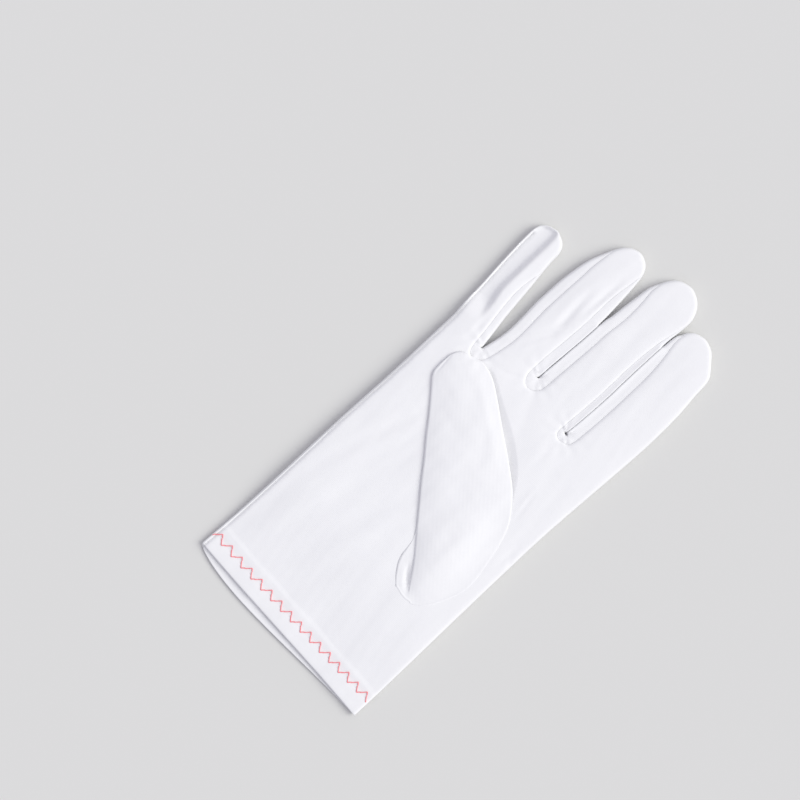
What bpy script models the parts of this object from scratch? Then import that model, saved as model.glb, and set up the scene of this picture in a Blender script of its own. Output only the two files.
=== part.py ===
"""A right-hand dress glove of thin white cloth, lying palm up with its thumb folded over the palm.

Metres. +X is the forefinger's side, +Y runs to the fingertips and +Z is up. The back of the glove rests
on z = 0, and the origin is a point of that resting face in the middle of the hand.

The palm and back are one piece of cloth, folded at the forefinger's side and closed at the little finger's
side. Three long strips, the fourchettes, line the gaps between the fingers. The thumb is a bag of its own,
seated round an oval hole in the palm.
"""

import math
from collections import namedtuple

import bmesh
import bpy
import numpy as np

# The cloth
WALL = 0.0010  # one layer of cloth
HEM_WALL = 0.0018  # the turned hem, two layers pressed together
GAP = 0.0003  # between pieces that are sewn to each other
SEAM_LAP = 0.0014  # how far the thumb's rim lies over the palm round the hole

# The hand
HAND_LENGTH = 0.1671  # wrist edge to the gap between ring and middle finger
CUFF_WIDTH = 0.1058
CUFF_OFFSET = 0.0028  # middle of the wrist edge, to the forefinger's side
CUFF_SLANT = 0.0028  # how much higher the wrist edge ends at the forefinger's side
BACK_OVERHANG = 0.0024  # how far the back's hem shows beyond the palm's
HEM_DEPTH = 0.0095
KNUCKLE_OFFSET = -0.0047  # middle of the four finger roots
CUFF_HEIGHT = 0.0085
HAND_HEIGHT = 0.0086
FINGER_HEIGHT = 0.0080
EDGE_HEIGHT = 0.0030  # the side fold, above the resting face
TOP_ROUND = 0.0070  # how far in from its edge the palm reaches its full height
BACK_ROUND = 0.0036  # how far in from its edge the back touches the surface below
REST_POINT = 0.1000  # wrist edge to the origin

# The strips between the fingers
GUSSET_BAND = 0.0054  # how far a strip reaches over the edge of a finger
THROAT = 0.0068  # how far a strip reaches below the gap between two fingers
STRIP_START = 0.04  # share of a finger's length where its seam leaves the throat
STRIP_NARROWING = 0.55  # share of a strip where it begins to narrow
STRIP_POINT = 0.12  # share of its band that is left at its end
STRIP_REACH = 0.0016  # how far a strip's end may reach into the open gap
STRIP_TIP = 0.0008  # how far its point runs on past its end

# The thumb
THUMB_LENGTH = 0.1138
THUMB_WIDTH = 0.0440
THUMB_TURN = math.radians(38.65)  # its lean over the palm, from the hand's own length
THUMB_HEEL_ACROSS = 0.0276
THUMB_HEEL_UP = 0.0537  # from the wrist edge
THUMB_HEIGHT = 0.0069  # thickness of the folded thumb, above the palm
THUMB_EDGE = 0.0026  # its side folds, above the palm
THUMB_ROUND = 0.0055  # how far in from a fold the thumb reaches its full height
SEAM_RISE = 0.0140  # how far in from its seam the thumb reaches its full height
SHELF_RISE = 0.0060  # how far in from its shelf the thumb reaches its full height
THUMB_BACK_ROUND = 0.0036
THUMB_CREST = 0.0014  # how far the thumb's end bulges
CREST_START = 0.92  # share of the sections where that bulge begins

# The fingers: width at the root, length, and how long the round tip is
LITTLE_WIDTH = 0.0203
LITTLE_LENGTH = 0.0605
LITTLE_TIP = 0.0080
RING_WIDTH = 0.0271
RING_LENGTH = 0.0778
RING_TIP = 0.0130
MIDDLE_WIDTH = 0.0276
MIDDLE_LENGTH = 0.0835
MIDDLE_TIP = 0.0117
INDEX_WIDTH = 0.0292
INDEX_LENGTH = 0.0752
INDEX_TIP = 0.0120

# Each finger's side edges, as shares of its width from the middle of its root
Finger = namedtuple("Finger", "name width length tip_round rows")
Row = namedtuple("Row", "along left right")
FINGERS = (
    Finger("little", LITTLE_WIDTH, LITTLE_LENGTH, LITTLE_TIP, (
        Row(0.00, -0.50, 0.50),
        Row(0.15, -0.57, 0.40),
        Row(0.30, -0.62, 0.30),
        Row(0.58, -0.74, 0.15),
        Row(0.83, -0.82, 0.01),
        Row(1.00, -0.82, -0.02),
    )),
    Finger("ring", RING_WIDTH, RING_LENGTH, RING_TIP, (
        Row(0.00, -0.500, 0.500),
        Row(0.10, -0.455, 0.487),
        Row(0.20, -0.447, 0.485),
        Row(0.40, -0.510, 0.480),
        Row(0.50, -0.525, 0.470),
        Row(0.60, -0.530, 0.445),
        Row(0.76, -0.485, 0.390),
        Row(0.88, -0.385, 0.345),
        Row(1.00, -0.330, 0.350),
    )),
    Finger("middle", MIDDLE_WIDTH, MIDDLE_LENGTH, MIDDLE_TIP, (
        Row(0.00, -0.500, 0.500),
        Row(0.15, -0.488, 0.500),
        Row(0.30, -0.500, 0.486),
        Row(0.45, -0.506, 0.455),
        Row(0.60, -0.502, 0.432),
        Row(0.72, -0.490, 0.420),
        Row(0.82, -0.470, 0.425),
        Row(0.90, -0.400, 0.415),
        Row(1.00, -0.360, 0.360),
    )),
    Finger("index", INDEX_WIDTH, INDEX_LENGTH, INDEX_TIP, (
        Row(0.00, -0.500, 0.500),
        Row(0.12, -0.484, 0.495),
        Row(0.25, -0.488, 0.487),
        Row(0.40, -0.504, 0.465),
        Row(0.57, -0.530, 0.425),
        Row(0.72, -0.548, 0.360),
        Row(0.86, -0.545, 0.300),
        Row(0.95, -0.545, 0.165),
        Row(1.00, -0.560, 0.150),
    )),
)

# The gaps and the outer roots: how far each lies short of HAND_LENGTH, as a share of it
ROOT_DROPS = (0.066, 0.066, 0.000, 0.041, 0.024)

# A strip's ends, as shares of its two fingers' lengths, and its bands, as shares of GUSSET_BAND
Gusset = namedtuple("Gusset", "name left_end right_end left_band right_band")
GUSSETS = (
    Gusset("fourchette_little_ring", 0.70, 0.90, 0.75, 1.00),
    Gusset("fourchette_ring_middle", 0.92, 0.88, 0.92, 1.00),
    Gusset("fourchette_middle_index", 0.84, 0.92, 0.62, 1.05),
)

# The hand's side edges, as shares of the way from the wrist's width to the knuckles'
HAND_EDGES = (
    Row(0.00, 0.00, 0.00),
    Row(0.15, 0.06, 0.17),
    Row(0.34, 0.26, 0.43),
    Row(0.55, 0.52, 0.70),
    Row(0.75, 0.68, 0.92),
    Row(1.00, 1.00, 1.00),
)

# The thumb's sections from its heel to its tip. Along is a share of THUMB_LENGTH, across of THUMB_WIDTH.
# Each side is sewn to the palm at a fold of 0 and folded free of it at 1. The shelf is the strip of
# cloth at the left that lies flat before the thumb folds over, as a share of THUMB_WIDTH.
Section = namedtuple("Section", "left_along left right_along right crown left_fold right_fold shelf")
THUMB_SECTIONS = (
    Section(0.040, -0.070, -0.010, 0.090, 0.10, 0.0, 0.0, 0.06),
    Section(0.100, -0.100, -0.018, 0.170, 0.45, 0.0, 0.0, 0.12),
    Section(0.165, -0.088, -0.003, 0.340, 0.80, 0.0, 0.0, 0.12),
    Section(0.253, 0.010, 0.080, 0.647, 0.95, 0.6, 0.0, 0.00),
    Section(0.362, 0.004, 0.214, 0.826, 1.00, 1.0, 0.0, 0.00),
    Section(0.473, -0.028, 0.360, 0.950, 1.00, 1.0, 0.1, 0.00),
    Section(0.575, -0.049, 0.495, 0.934, 1.00, 1.0, 0.7, 0.00),
    Section(0.662, -0.074, 0.620, 0.830, 1.00, 1.0, 1.0, 0.00),
    Section(0.752, -0.092, 0.764, 0.679, 1.00, 1.0, 1.0, 0.00),
    Section(0.838, -0.117, 0.868, 0.573, 1.00, 1.0, 1.0, 0.00),
    Section(0.905, -0.132, 0.945, 0.480, 0.97, 1.0, 1.0, 0.00),
    Section(0.960, -0.110, 0.995, 0.360, 0.92, 1.0, 1.0, 0.00),
    Section(1.000, -0.020, 1.018, 0.190, 0.85, 1.0, 1.0, 0.00),
)
MOUTH_START = 0.25  # share of the sections where the thumb's underside begins
MOUTH_END = 0.50  # and where it has its full width
MOUTH_POWER = 0.8  # below 1 the underside widens faster at first
HOLE_END = 0.45  # and where the hole in the palm under it ends

# Soft folds pressed into the top: ends across (share of the knuckles' width from their middle) and up
# (share of HAND_LENGTH), half width and depth as shares of HAND_HEIGHT
Fold = namedtuple("Fold", "across_a up_a across_b up_b width depth")
FOLDS = (
    Fold(-0.27, 0.67, -0.33, 0.55, 0.42, 0.10),
    Fold(-0.35, 0.51, -0.38, 0.40, 0.40, 0.09),
    Fold(-0.08, 0.965, -0.15, 0.94, 0.30, 0.07),
    Fold(-0.40, 0.96, -0.47, 1.12, 0.30, 0.10),
    Fold(-0.14, 1.32, -0.14, 1.23, 0.35, 0.09),
    Fold(-0.19, 1.23, -0.17, 1.14, 0.35, 0.09),
    Fold(0.10, 0.30, 0.30, 0.12, 0.70, 0.08),
    Fold(-0.30, 0.12, -0.12, 0.30, 0.80, 0.07),
    Fold(-0.45, 0.025, 0.45, 0.030, 0.18, 0.05),
)

# Where the hand changes its height, as shares of HAND_LENGTH
PALM_START = 0.35
PALM_END = 0.75
FINGER_START = 1.05

# The mesh
COLUMNS = (0.0, 0.045, 0.15, 0.32, 0.5, 0.68, 0.85, 0.955, 1.0)  # across a finger
HAND_ROWS = 17
FINGER_ROWS = (0.10, 0.21, 0.33, 0.45, 0.57, 0.68, 0.77, 0.85, 0.91, 0.955, 0.985, 1.0)
THUMB_ROWS = 26
HOLE_STEPS = 14
TIP_POWER = 2.3  # roundness of the fingertips
TIP_REACH = 0.975  # share of the round tip before its short straight end
CREST = 0.0006  # how far that end bulges
CREST_ROWS = 0.1  # share of a finger's length over which the bulge grows
HEM_ROWS = 3
OVERHANG_ROWS = 5  # rows over which the back's overhang fades out
OVERHANG_SKEW = 0.6  # below 1 the overhang is widest towards the little finger's side
CLOSE_COLUMNS = (0.0, 0.010, 0.035)  # the first columns at the wrist's two ends, as shares of its width
STRIP_STEPS = 9
THROAT_ANGLES = (200, 235, 270, 305, 340)  # degrees round the root of a gap
CORNER_LIMIT = 1.5  # how many walls deep a sharp corner may reach inwards
MITRE_LIMIT = 0.8  # keeps an outline's sharp corners from growing into spikes
CORNERS = ((0, 0), (0, 1), (1, 1), (1, 0))  # of one cell, as steps of row and column
THUMB_COLUMNS = (0.0, 0.03, 0.10, 0.20, 0.33, 0.5, 0.67, 0.80, 0.90, 0.97, 1.0)
CUTTER_REACH = 0.02  # how far a cutter runs past what it cuts

KNUCKLE_WIDTH = sum(finger.width for finger in FINGERS)
CLOTH_WHITE = (0.86, 0.86, 0.90)


def curve(rows, along, column):
    """A smooth value of one column of a table, at a share along its first column."""
    xs = [row[0] for row in rows]
    ys = [getattr(row, column) for row in rows]
    return spline(xs, ys, along)


def spline(xs, ys, x):
    """A cubic through the points, with each slope taken from the points beside it."""
    x = min(max(x, xs[0]), xs[-1])
    i = max(k for k in range(len(xs) - 1) if xs[k] <= x)
    slopes = []
    for k in (i, i + 1):
        low, high = max(k - 1, 0), min(k + 1, len(xs) - 1)
        slopes.append((ys[high] - ys[low]) / (xs[high] - xs[low]))
    step = xs[i + 1] - xs[i]
    u = (x - xs[i]) / step
    start = slopes[0] * step * u * (1 - u) ** 2
    end = slopes[1] * step * u * u * (1 - u)
    return mix(ys[i], ys[i + 1], ease(u)) + start - end


def mix(a, b, share):
    return a + (b - a) * share


def ease(share):
    share = min(max(share, 0.0), 1.0)
    return share * share * (3 - 2 * share)


def round_rise(distance, reach):
    """The quarter circle that a soft edge follows: 0 at the edge and 1 from reach inwards."""
    short = 1 - min(max(distance / reach, 0.0), 1.0)
    return math.sqrt(1 - short * short)


# Plan of the hand, seen from above


def root_point(index):
    """The outer root of the little finger, the three gaps and the outer root of the index finger."""
    x = KNUCKLE_OFFSET - KNUCKLE_WIDTH / 2 + sum(finger.width for finger in FINGERS[:index])
    return x, HAND_LENGTH * (1 - ROOT_DROPS[index])


def root_at(column):
    """A point of the line of the finger roots, at a column counted over all four fingers."""
    index, part = divmod(column, len(COLUMNS) - 1)
    if part == 0:
        return root_point(index)
    (xa, ya), (xb, yb) = root_point(index), root_point(index + 1)
    return mix(xa, xb, COLUMNS[part]), mix(ya, yb, COLUMNS[part])


def cuff_at(share):
    x = CUFF_OFFSET + (share - 0.5) * CUFF_WIDTH
    return x, CUFF_SLANT * ease(share)


def cuff_share(column):
    """Columns at the wrist are even, apart from the close ones at the two sides."""
    last = 4 * (len(COLUMNS) - 1)
    close = len(CLOSE_COLUMNS) - 1
    if column <= close:
        return CLOSE_COLUMNS[column]
    if column >= last - close:
        return 1 - CLOSE_COLUMNS[last - column]
    inner = (column - close) / (last - 2 * close)
    return mix(CLOSE_COLUMNS[-1], 1 - CLOSE_COLUMNS[-1], inner)


def hand_point(row, column):
    """A plan point of the hand. Row 0 is the wrist edge and HAND_ROWS the line of the roots."""
    if row <= HEM_ROWS:
        along = row / HEM_ROWS * HEM_DEPTH / HAND_LENGTH
    else:
        along = mix(HEM_DEPTH / HAND_LENGTH, 1.0, (row - HEM_ROWS) / (HAND_ROWS - HEM_ROWS))
    share = cuff_share(column)
    cuff_x, cuff_y = cuff_at(share)
    root_x, root_y = root_at(column)
    left = mix(cuff_at(0)[0], root_point(0)[0], curve(HAND_EDGES, along, "left"))
    right = mix(cuff_at(1)[0], root_point(4)[0], curve(HAND_EDGES, along, "right"))
    root_share = (root_x - root_point(0)[0]) / KNUCKLE_WIDTH
    x = mix(left, right, mix(share, root_share, along))
    return x, mix(cuff_y, root_y, along)


def finger_edges(index, along):
    """The left and right side of a finger at a share of its length, with its round tip."""
    finger = FINGERS[index]
    left, right = (curve(finger.rows, along, side) for side in ("left", "right"))
    tip_start = 1 - finger.tip_round / finger.length
    tip = max(0.0, (along - tip_start) / (1 - tip_start)) * TIP_REACH
    half = (right - left) / 2 * (1 - tip**TIP_POWER) ** (1 / TIP_POWER)
    middle = (left + right) / 2
    centre = (root_point(index)[0] + root_point(index + 1)[0]) / 2
    return centre + (middle - half) * finger.width, centre + (middle + half) * finger.width


def finger_point(index, along, across):
    """A plan point of a finger, at shares of its length and of its width."""
    left, right = finger_edges(index, along)
    (_, ya), (_, yb) = root_point(index), root_point(index + 1)
    tip_y = (ya + yb) / 2 + FINGERS[index].length
    grown = max(0.0, (along - 1 + CREST_ROWS) / CREST_ROWS)
    crest = CREST * (1 - (2 * across - 1) ** 2) * grown
    return mix(left, right, across), mix(mix(ya, yb, across), tip_y, along) + crest


def outline():
    """The whole outline seen from above, from the wrist round the fingertips and back."""
    last = 4 * (len(COLUMNS) - 1)
    points = [hand_point(row, 0) for row in range(HAND_ROWS)]
    for index in range(4):
        points.append(root_point(index))
        points += [finger_point(index, along, 0) for along in FINGER_ROWS[:-1]]
        points += [finger_point(index, 1, across) for across in COLUMNS]
        points += [finger_point(index, along, 1) for along in reversed(FINGER_ROWS[:-1])]
    points.append(root_point(4))
    points += [hand_point(row, last) for row in reversed(range(HAND_ROWS))]
    return np.array(points)


OUTLINE = outline()


def edge_distance(x, y):
    """The distance from a plan point to the outline."""
    start, step = OUTLINE[:-1], np.diff(OUTLINE, axis=0)
    offset = np.array((x, y)) - start
    share = np.clip((offset * step).sum(1) / (step * step).sum(1), 0, 1)
    return float(np.linalg.norm(offset - share[:, None] * step, axis=1).min())


def fold_depth(x, y):
    """How deep the soft folds press the top at a plan point."""
    depth = 0.0
    for fold in FOLDS:
        start = np.array((KNUCKLE_OFFSET + fold.across_a * KNUCKLE_WIDTH, fold.up_a * HAND_LENGTH))
        end = np.array((KNUCKLE_OFFSET + fold.across_b * KNUCKLE_WIDTH, fold.up_b * HAND_LENGTH))
        step = end - start
        offset = np.array((x, y)) - start
        share = min(max(offset @ step / (step @ step), 0.0), 1.0)
        away = np.linalg.norm(offset - share * step) / (fold.width * HAND_HEIGHT)
        depth += fold.depth * HAND_HEIGHT * math.exp(-away * away)
    return depth


def top_height(x, y):
    """The height of the palm's side of the hand and fingers."""
    up = y / HAND_LENGTH
    full = mix(CUFF_HEIGHT, HAND_HEIGHT, ease(up / PALM_START))
    full = mix(full, FINGER_HEIGHT, ease((up - PALM_END) / (FINGER_START - PALM_END)))
    rise = round_rise(edge_distance(x, y), TOP_ROUND)
    return EDGE_HEIGHT + (full - fold_depth(x, y) - EDGE_HEIGHT) * rise


def back_height(x, y):
    return EDGE_HEIGHT * (1 - round_rise(edge_distance(x, y), BACK_ROUND))


# Meshes


def in_frame(point):
    """From wrist-edge coordinates to the part's own frame."""
    return point[0], point[1] - REST_POINT, point[2]


def new_object(name, mesh_data, collection, colour):
    mesh = bpy.data.meshes.new(name)
    mesh_data.normal_update()
    mesh_data.to_mesh(mesh)
    mesh_data.free()
    obj = bpy.data.objects.new(name, mesh)
    collection.objects.link(obj)
    material = bpy.data.materials.new(name)
    material.use_nodes = True
    shader = material.node_tree.nodes["Principled BSDF"]
    shader.inputs["Base Color"].default_value = (*colour, 1.0)
    shader.inputs["Roughness"].default_value = 0.85
    shader.inputs["Metallic"].default_value = 0.0
    mesh.materials.append(material)
    return obj


def hand_surface():
    """The whole hand's cloth, open at the wrist: a top and a back joined along the outline."""
    mesh = bmesh.new()
    walls = {}
    per_finger = len(COLUMNS) - 1
    last = 4 * per_finger
    pairs = {}

    def add(key, x, y, on_edge, overhang=0.0, wall=WALL):
        top = mesh.verts.new(in_frame((x, y, top_height(x, y) if not on_edge else EDGE_HEIGHT)))
        back = top
        if not on_edge:
            back = mesh.verts.new(in_frame((x, y - overhang, back_height(x, y))))
        walls[top] = walls[back] = wall
        pairs[key] = top, back

    def add_cell(keys):
        corners = [pairs[key] for key in keys]
        mesh.faces.new([top for top, back in corners])
        mesh.faces.new([back for top, back in reversed(corners)])

    for row in range(HAND_ROWS + 1):
        for column in range(last + 1):
            x, y = hand_point(row, column)
            on_edge = column in (0, last) or (row == HAND_ROWS and column % per_finger == 0)
            bow = math.sin(math.pi * cuff_share(column) ** OVERHANG_SKEW)
            overhang = BACK_OVERHANG * bow * max(0.0, 1 - row / OVERHANG_ROWS)
            wall = HEM_WALL if row <= HEM_ROWS else WALL
            add(("hand", row, column), x, y, on_edge, overhang, wall)
    for index in range(4):
        for column, across in enumerate(COLUMNS):
            pairs[index, 0, column] = pairs["hand", HAND_ROWS, index * per_finger + column]
            for row, along in enumerate(FINGER_ROWS, start=1):
                x, y = finger_point(index, along, across)
                on_edge = column in (0, per_finger) or row == len(FINGER_ROWS)
                add((index, row, column), x, y, on_edge)
    for row in range(HAND_ROWS):
        for column in range(last):
            add_cell([("hand", row + down, column + side) for down, side in CORNERS])
    for index in range(4):
        for row in range(len(FINGER_ROWS)):
            for column in range(per_finger):
                add_cell([(index, row + down, column + side) for down, side in CORNERS])
    return thicken(mesh, walls.get)


def thicken(mesh, wall_at):
    """Gives an open surface its wall, inwards from the face that shows."""
    mesh.normal_update()
    outer, inner = list(mesh.verts), {}
    for vert in outer:
        depth = wall_at(vert) * min(vert.calc_shell_factor(), CORNER_LIMIT)
        inner[vert] = mesh.verts.new(vert.co - vert.normal * depth)
    rims = [edge.link_loops[0] for edge in mesh.edges if edge.is_boundary]
    ends = [(loop.vert, loop.link_loop_next.vert) for loop in rims]
    for face in list(mesh.faces):
        mesh.faces.new([inner[vert] for vert in reversed(face.verts)])
    for first, second in ends:
        mesh.faces.new((second, first, inner[first], inner[second]))
    bmesh.ops.triangulate(mesh, faces=mesh.faces)
    return mesh


def prism(name, points, low, high, collection):
    """A cutter: a flat outline drawn out between two heights."""
    mesh = bmesh.new()
    base = mesh.faces.new([mesh.verts.new(in_frame((x, y, low))) for x, y in points])
    if base.normal.z > 0 or signed_area(points) > 0:
        base.normal_flip()
    grown = bmesh.ops.extrude_face_region(mesh, geom=[base])["geom"]
    raised = [item for item in grown if isinstance(item, bmesh.types.BMVert)]
    bmesh.ops.translate(mesh, verts=raised, vec=(0, 0, high - low))
    bmesh.ops.recalc_face_normals(mesh, faces=mesh.faces)
    obj = new_object(name, mesh, collection, CLOTH_WHITE)
    obj.hide_render = True
    obj.display_type = "WIRE"
    return obj


def signed_area(points):
    return sum(xa * yb - xb * ya for (xa, ya), (xb, yb) in zip(points, points[1:] + points[:1])) / 2


def grown_outline(points, distance):
    """The outline moved outwards by a distance, or inwards by a negative one."""
    side = 1 if signed_area(points) > 0 else -1
    moved = []
    for i, (x, y) in enumerate(points):
        before = np.array(points[i]) - np.array(points[i - 1])
        after = np.array(points[(i + 1) % len(points)]) - np.array(points[i])
        normals = [side * np.array((step[1], -step[0])) / np.linalg.norm(step) for step in (before, after)]
        bisector = normals[0] + normals[1]
        shift = bisector * 2 / max(bisector @ bisector, MITRE_LIMIT)
        moved.append((x + shift[0] * distance, y + shift[1] * distance))
    return moved


def boolean(obj, cutter, operation):
    """Cuts a mesh of triangles with a cutter, at once, and leaves triangles for the next cut."""
    modifier = obj.modifiers.new(cutter.name, "BOOLEAN")
    modifier.operation = operation
    modifier.solver = "EXACT"
    modifier.object = cutter
    obj.modifiers.new("triangles", "TRIANGULATE")
    apply_modifiers(obj)


def apply_modifiers(obj):
    """Replaces the object's mesh by its evaluated one, and clears its modifiers."""
    graph = bpy.context.evaluated_depsgraph_get()
    mesh = bpy.data.meshes.new_from_object(obj.evaluated_get(graph))
    obj.modifiers.clear()
    obj.data = mesh


# The strips between the fingers


def gusset_side(index, across, end, band):
    """The seam along one side of a finger, from its root to the strip's end, in plan."""
    points = []
    for step in range(1, STRIP_STEPS + 1):
        share = step / STRIP_STEPS
        past = max(0.0, (share - STRIP_NARROWING) / (1 - STRIP_NARROWING))
        inset = GUSSET_BAND * band * mix(1.0, STRIP_POINT, past * past)
        x, y = finger_point(index, mix(STRIP_START, end, share), across)
        points.append((x + inset if across == 0 else x - inset, y))
    return points


def gusset_throat(number):
    """The seam round the root of a gap, in plan."""
    gusset = GUSSETS[number]
    gap_x, gap_y = root_point(number + 1)
    throat = []
    for degrees in THROAT_ANGLES:
        angle = math.radians(degrees)
        band = mix(gusset.left_band, gusset.right_band, (1 + math.cos(angle)) / 2)
        x = gap_x + GUSSET_BAND * band * math.cos(angle)
        throat.append((x, gap_y + THROAT * math.sin(angle)))
    return throat


def gusset_prism(number, grow, collection):
    """A cutter as large as a strip: up one finger, round the root of the gap and up the other."""
    gusset = GUSSETS[number]
    left = gusset_side(number, 1, gusset.left_end, gusset.left_band)
    right = gusset_side(number + 1, 0, gusset.right_end, gusset.right_band)
    left_x, left_y = finger_point(number, gusset.left_end, 1)
    right_x, right_y = finger_point(number + 1, gusset.right_end, 0)
    reach = min(STRIP_REACH, (right_x - left_x) / 4)
    ends = [
        (right_x - reach, right_y + STRIP_TIP),
        ((left_x + right_x) / 2, min(left_y, right_y) + STRIP_TIP),
        (left_x + reach, left_y + STRIP_TIP),
    ]
    points = grown_outline(left[::-1] + gusset_throat(number) + right + ends, grow)
    name = f"{gusset.name}_{'larger' if grow > 0 else 'smaller'}"
    return prism(name, points, -CUTTER_REACH, HAND_HEIGHT + CUTTER_REACH, collection)


# The thumb


def thumb_to_hand(along, across):
    """From shares of the thumb's length and width to a plan point of the hand."""
    u, v = along * THUMB_LENGTH, across * THUMB_WIDTH
    x = THUMB_HEEL_ACROSS - u * math.sin(THUMB_TURN) + v * math.cos(THUMB_TURN)
    return x, THUMB_HEEL_UP + u * math.cos(THUMB_TURN) + v * math.sin(THUMB_TURN)


def thumb_section(share):
    """One section of the thumb, at a share of the way through the table."""
    places = [i / (len(THUMB_SECTIONS) - 1) for i in range(len(THUMB_SECTIONS))]
    values = [spline(places, [row[k] for row in THUMB_SECTIONS], share) for k in range(8)]
    return Section(*values)


def mouth_share(share):
    """How much of the section's width the thumb's underside covers, exactly 1 past the mouth."""
    return ease((share - MOUTH_START) / (MOUTH_END - MOUTH_START)) ** MOUTH_POWER


def thumb_plan(section, across, bulge=0.0):
    along = mix(section.left_along, section.right_along, across)
    along += bulge / THUMB_LENGTH * (1 - (2 * across - 1) ** 2)
    return thumb_to_hand(along, mix(section.left, section.right, across))


def thumb_width(section):
    (xa, ya), (xb, yb) = thumb_plan(section, 0), thumb_plan(section, 1)
    return math.hypot(xb - xa, yb - ya)


def thumb_top(section, across, x, y, end_rise):
    width = thumb_width(section)
    left_edge = mix(WALL, THUMB_EDGE, section.left_fold)
    right_edge = mix(WALL, THUMB_EDGE, section.right_fold)
    left_reach = mix(SHELF_RISE, THUMB_ROUND, section.left_fold)
    right_reach = mix(SEAM_RISE, THUMB_ROUND, section.right_fold)
    left_in = max(0.0, across * width - section.shelf * THUMB_WIDTH)
    rise = round_rise(left_in, left_reach) * round_rise((1 - across) * width, right_reach)
    edge = mix(left_edge, right_edge, across)
    crown = mix(edge, THUMB_HEIGHT, section.crown)
    return top_height(x, y) + GAP + edge + (crown - edge) * min(rise, end_rise)


def thumb_back(section, across, x, y, cover, end_rise):
    width = thumb_width(section)
    left = section.left_fold * THUMB_EDGE * (1 - round_rise(across * width, THUMB_BACK_ROUND))
    right = section.right_fold * THUMB_EDGE * (1 - round_rise((1 - across) * width, THUMB_BACK_ROUND))
    end = THUMB_EDGE * (1 - end_rise)
    return top_height(x, y) + GAP + max(left, right if cover == 1 else 0.0, end)


def thumb_surface():
    """The thumb's cloth: a top, and an underside that leaves the mouth open over the hole."""
    mesh = bmesh.new()
    tops, backs = {}, {}
    last = len(THUMB_COLUMNS) - 1
    first = round(MOUTH_START * THUMB_ROWS)
    for row in range(THUMB_ROWS + 1):
        share = row / THUMB_ROWS
        section = thumb_section(share)
        cover = mouth_share(share)
        from_tip = (1 - share) * THUMB_LENGTH
        bulge = THUMB_CREST * max(0.0, (share - CREST_START) / (1 - CREST_START))
        top_end, back_end = round_rise(from_tip, THUMB_ROUND), round_rise(from_tip, THUMB_BACK_ROUND)
        for column, across in enumerate(THUMB_COLUMNS):
            x, y = thumb_plan(section, across, bulge)
            z = thumb_top(section, across, x, y, top_end)
            tops[row, column] = mesh.verts.new(in_frame((x, y, z)))
            edge = column == 0 or row == THUMB_ROWS or (column == last and cover == 1)
            if edge or row <= first:
                backs[row, column] = tops[row, column if edge else 0]
                continue
            x, y = thumb_plan(section, across * cover, bulge)
            z = thumb_back(section, across * cover, x, y, cover, back_end)
            backs[row, column] = mesh.verts.new(in_frame((x, y, z)))
    for row in range(THUMB_ROWS):
        for column in range(last):
            keys = [(row + down, column + side) for down, side in CORNERS]
            mesh.faces.new([tops[key] for key in keys])
            if row >= first:
                ring = [backs[key] for key in reversed(keys)]
                ring = [vert for i, vert in enumerate(ring) if vert is not ring[i - 1]]
                mesh.faces.new(ring)
    return thicken(mesh, lambda vert: WALL)


def hole_outline():
    """The hole in the palm, in plan: the thumb's mouth, less the lap of its rim all round."""
    left, right = [], []
    for step in range(HOLE_STEPS + 1):
        share = mix(SEAM_LAP / THUMB_LENGTH, HOLE_END, step / HOLE_STEPS)
        section = thumb_section(share)
        lap = SEAM_LAP / thumb_width(section)
        left.append(thumb_plan(section, mouth_share(share) + lap))
        right.append(thumb_plan(section, 1 - lap))
    return left[::-1] + right


def main():
    for obj in list(bpy.data.objects):
        bpy.data.objects.remove(obj)
    glove = bpy.data.collections.new("white_glove")
    cutters = bpy.data.collections.new("cutters")
    for collection in (glove, cutters):
        bpy.context.scene.collection.children.link(collection)
    cutters.hide_render = True

    shell = new_object("palm_and_back", hand_surface(), glove, CLOTH_WHITE)
    for number, gusset in enumerate(GUSSETS):
        strip = bpy.data.objects.new(gusset.name, shell.data.copy())
        glove.objects.link(strip)
        boolean(strip, gusset_prism(number, -GAP / 2, cutters), "INTERSECT")
    for number in range(len(GUSSETS)):
        boolean(shell, gusset_prism(number, GAP / 2, cutters), "DIFFERENCE")
    middle, above = EDGE_HEIGHT + WALL, HAND_HEIGHT + CUTTER_REACH
    boolean(shell, prism("thumb_hole", hole_outline(), middle, above, cutters), "DIFFERENCE")
    new_object("thumb", thumb_surface(), glove, CLOTH_WHITE)

    for obj in glove.objects:
        obj.data.shade_smooth()


main()
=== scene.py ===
# %% [markdown]
# ## A white dress glove, lying palm up
#
# A thin cloth glove looks simple, but everything that we read as "glove" sits in small things: crisp folds
# at the sides, the two narrow strips beside each finger, tiny puckers where they meet, and the thumb folded
# over the palm. This lesson builds those forms as real geometry and leaves only the weave to the material.
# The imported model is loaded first. It stays the frame that every piece has to fit.

# %% Load the frame
import math
from collections import namedtuple

import bpy
import numpy as np
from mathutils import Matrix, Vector
from mathutils.geometry import delaunay_2d_cdt


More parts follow.
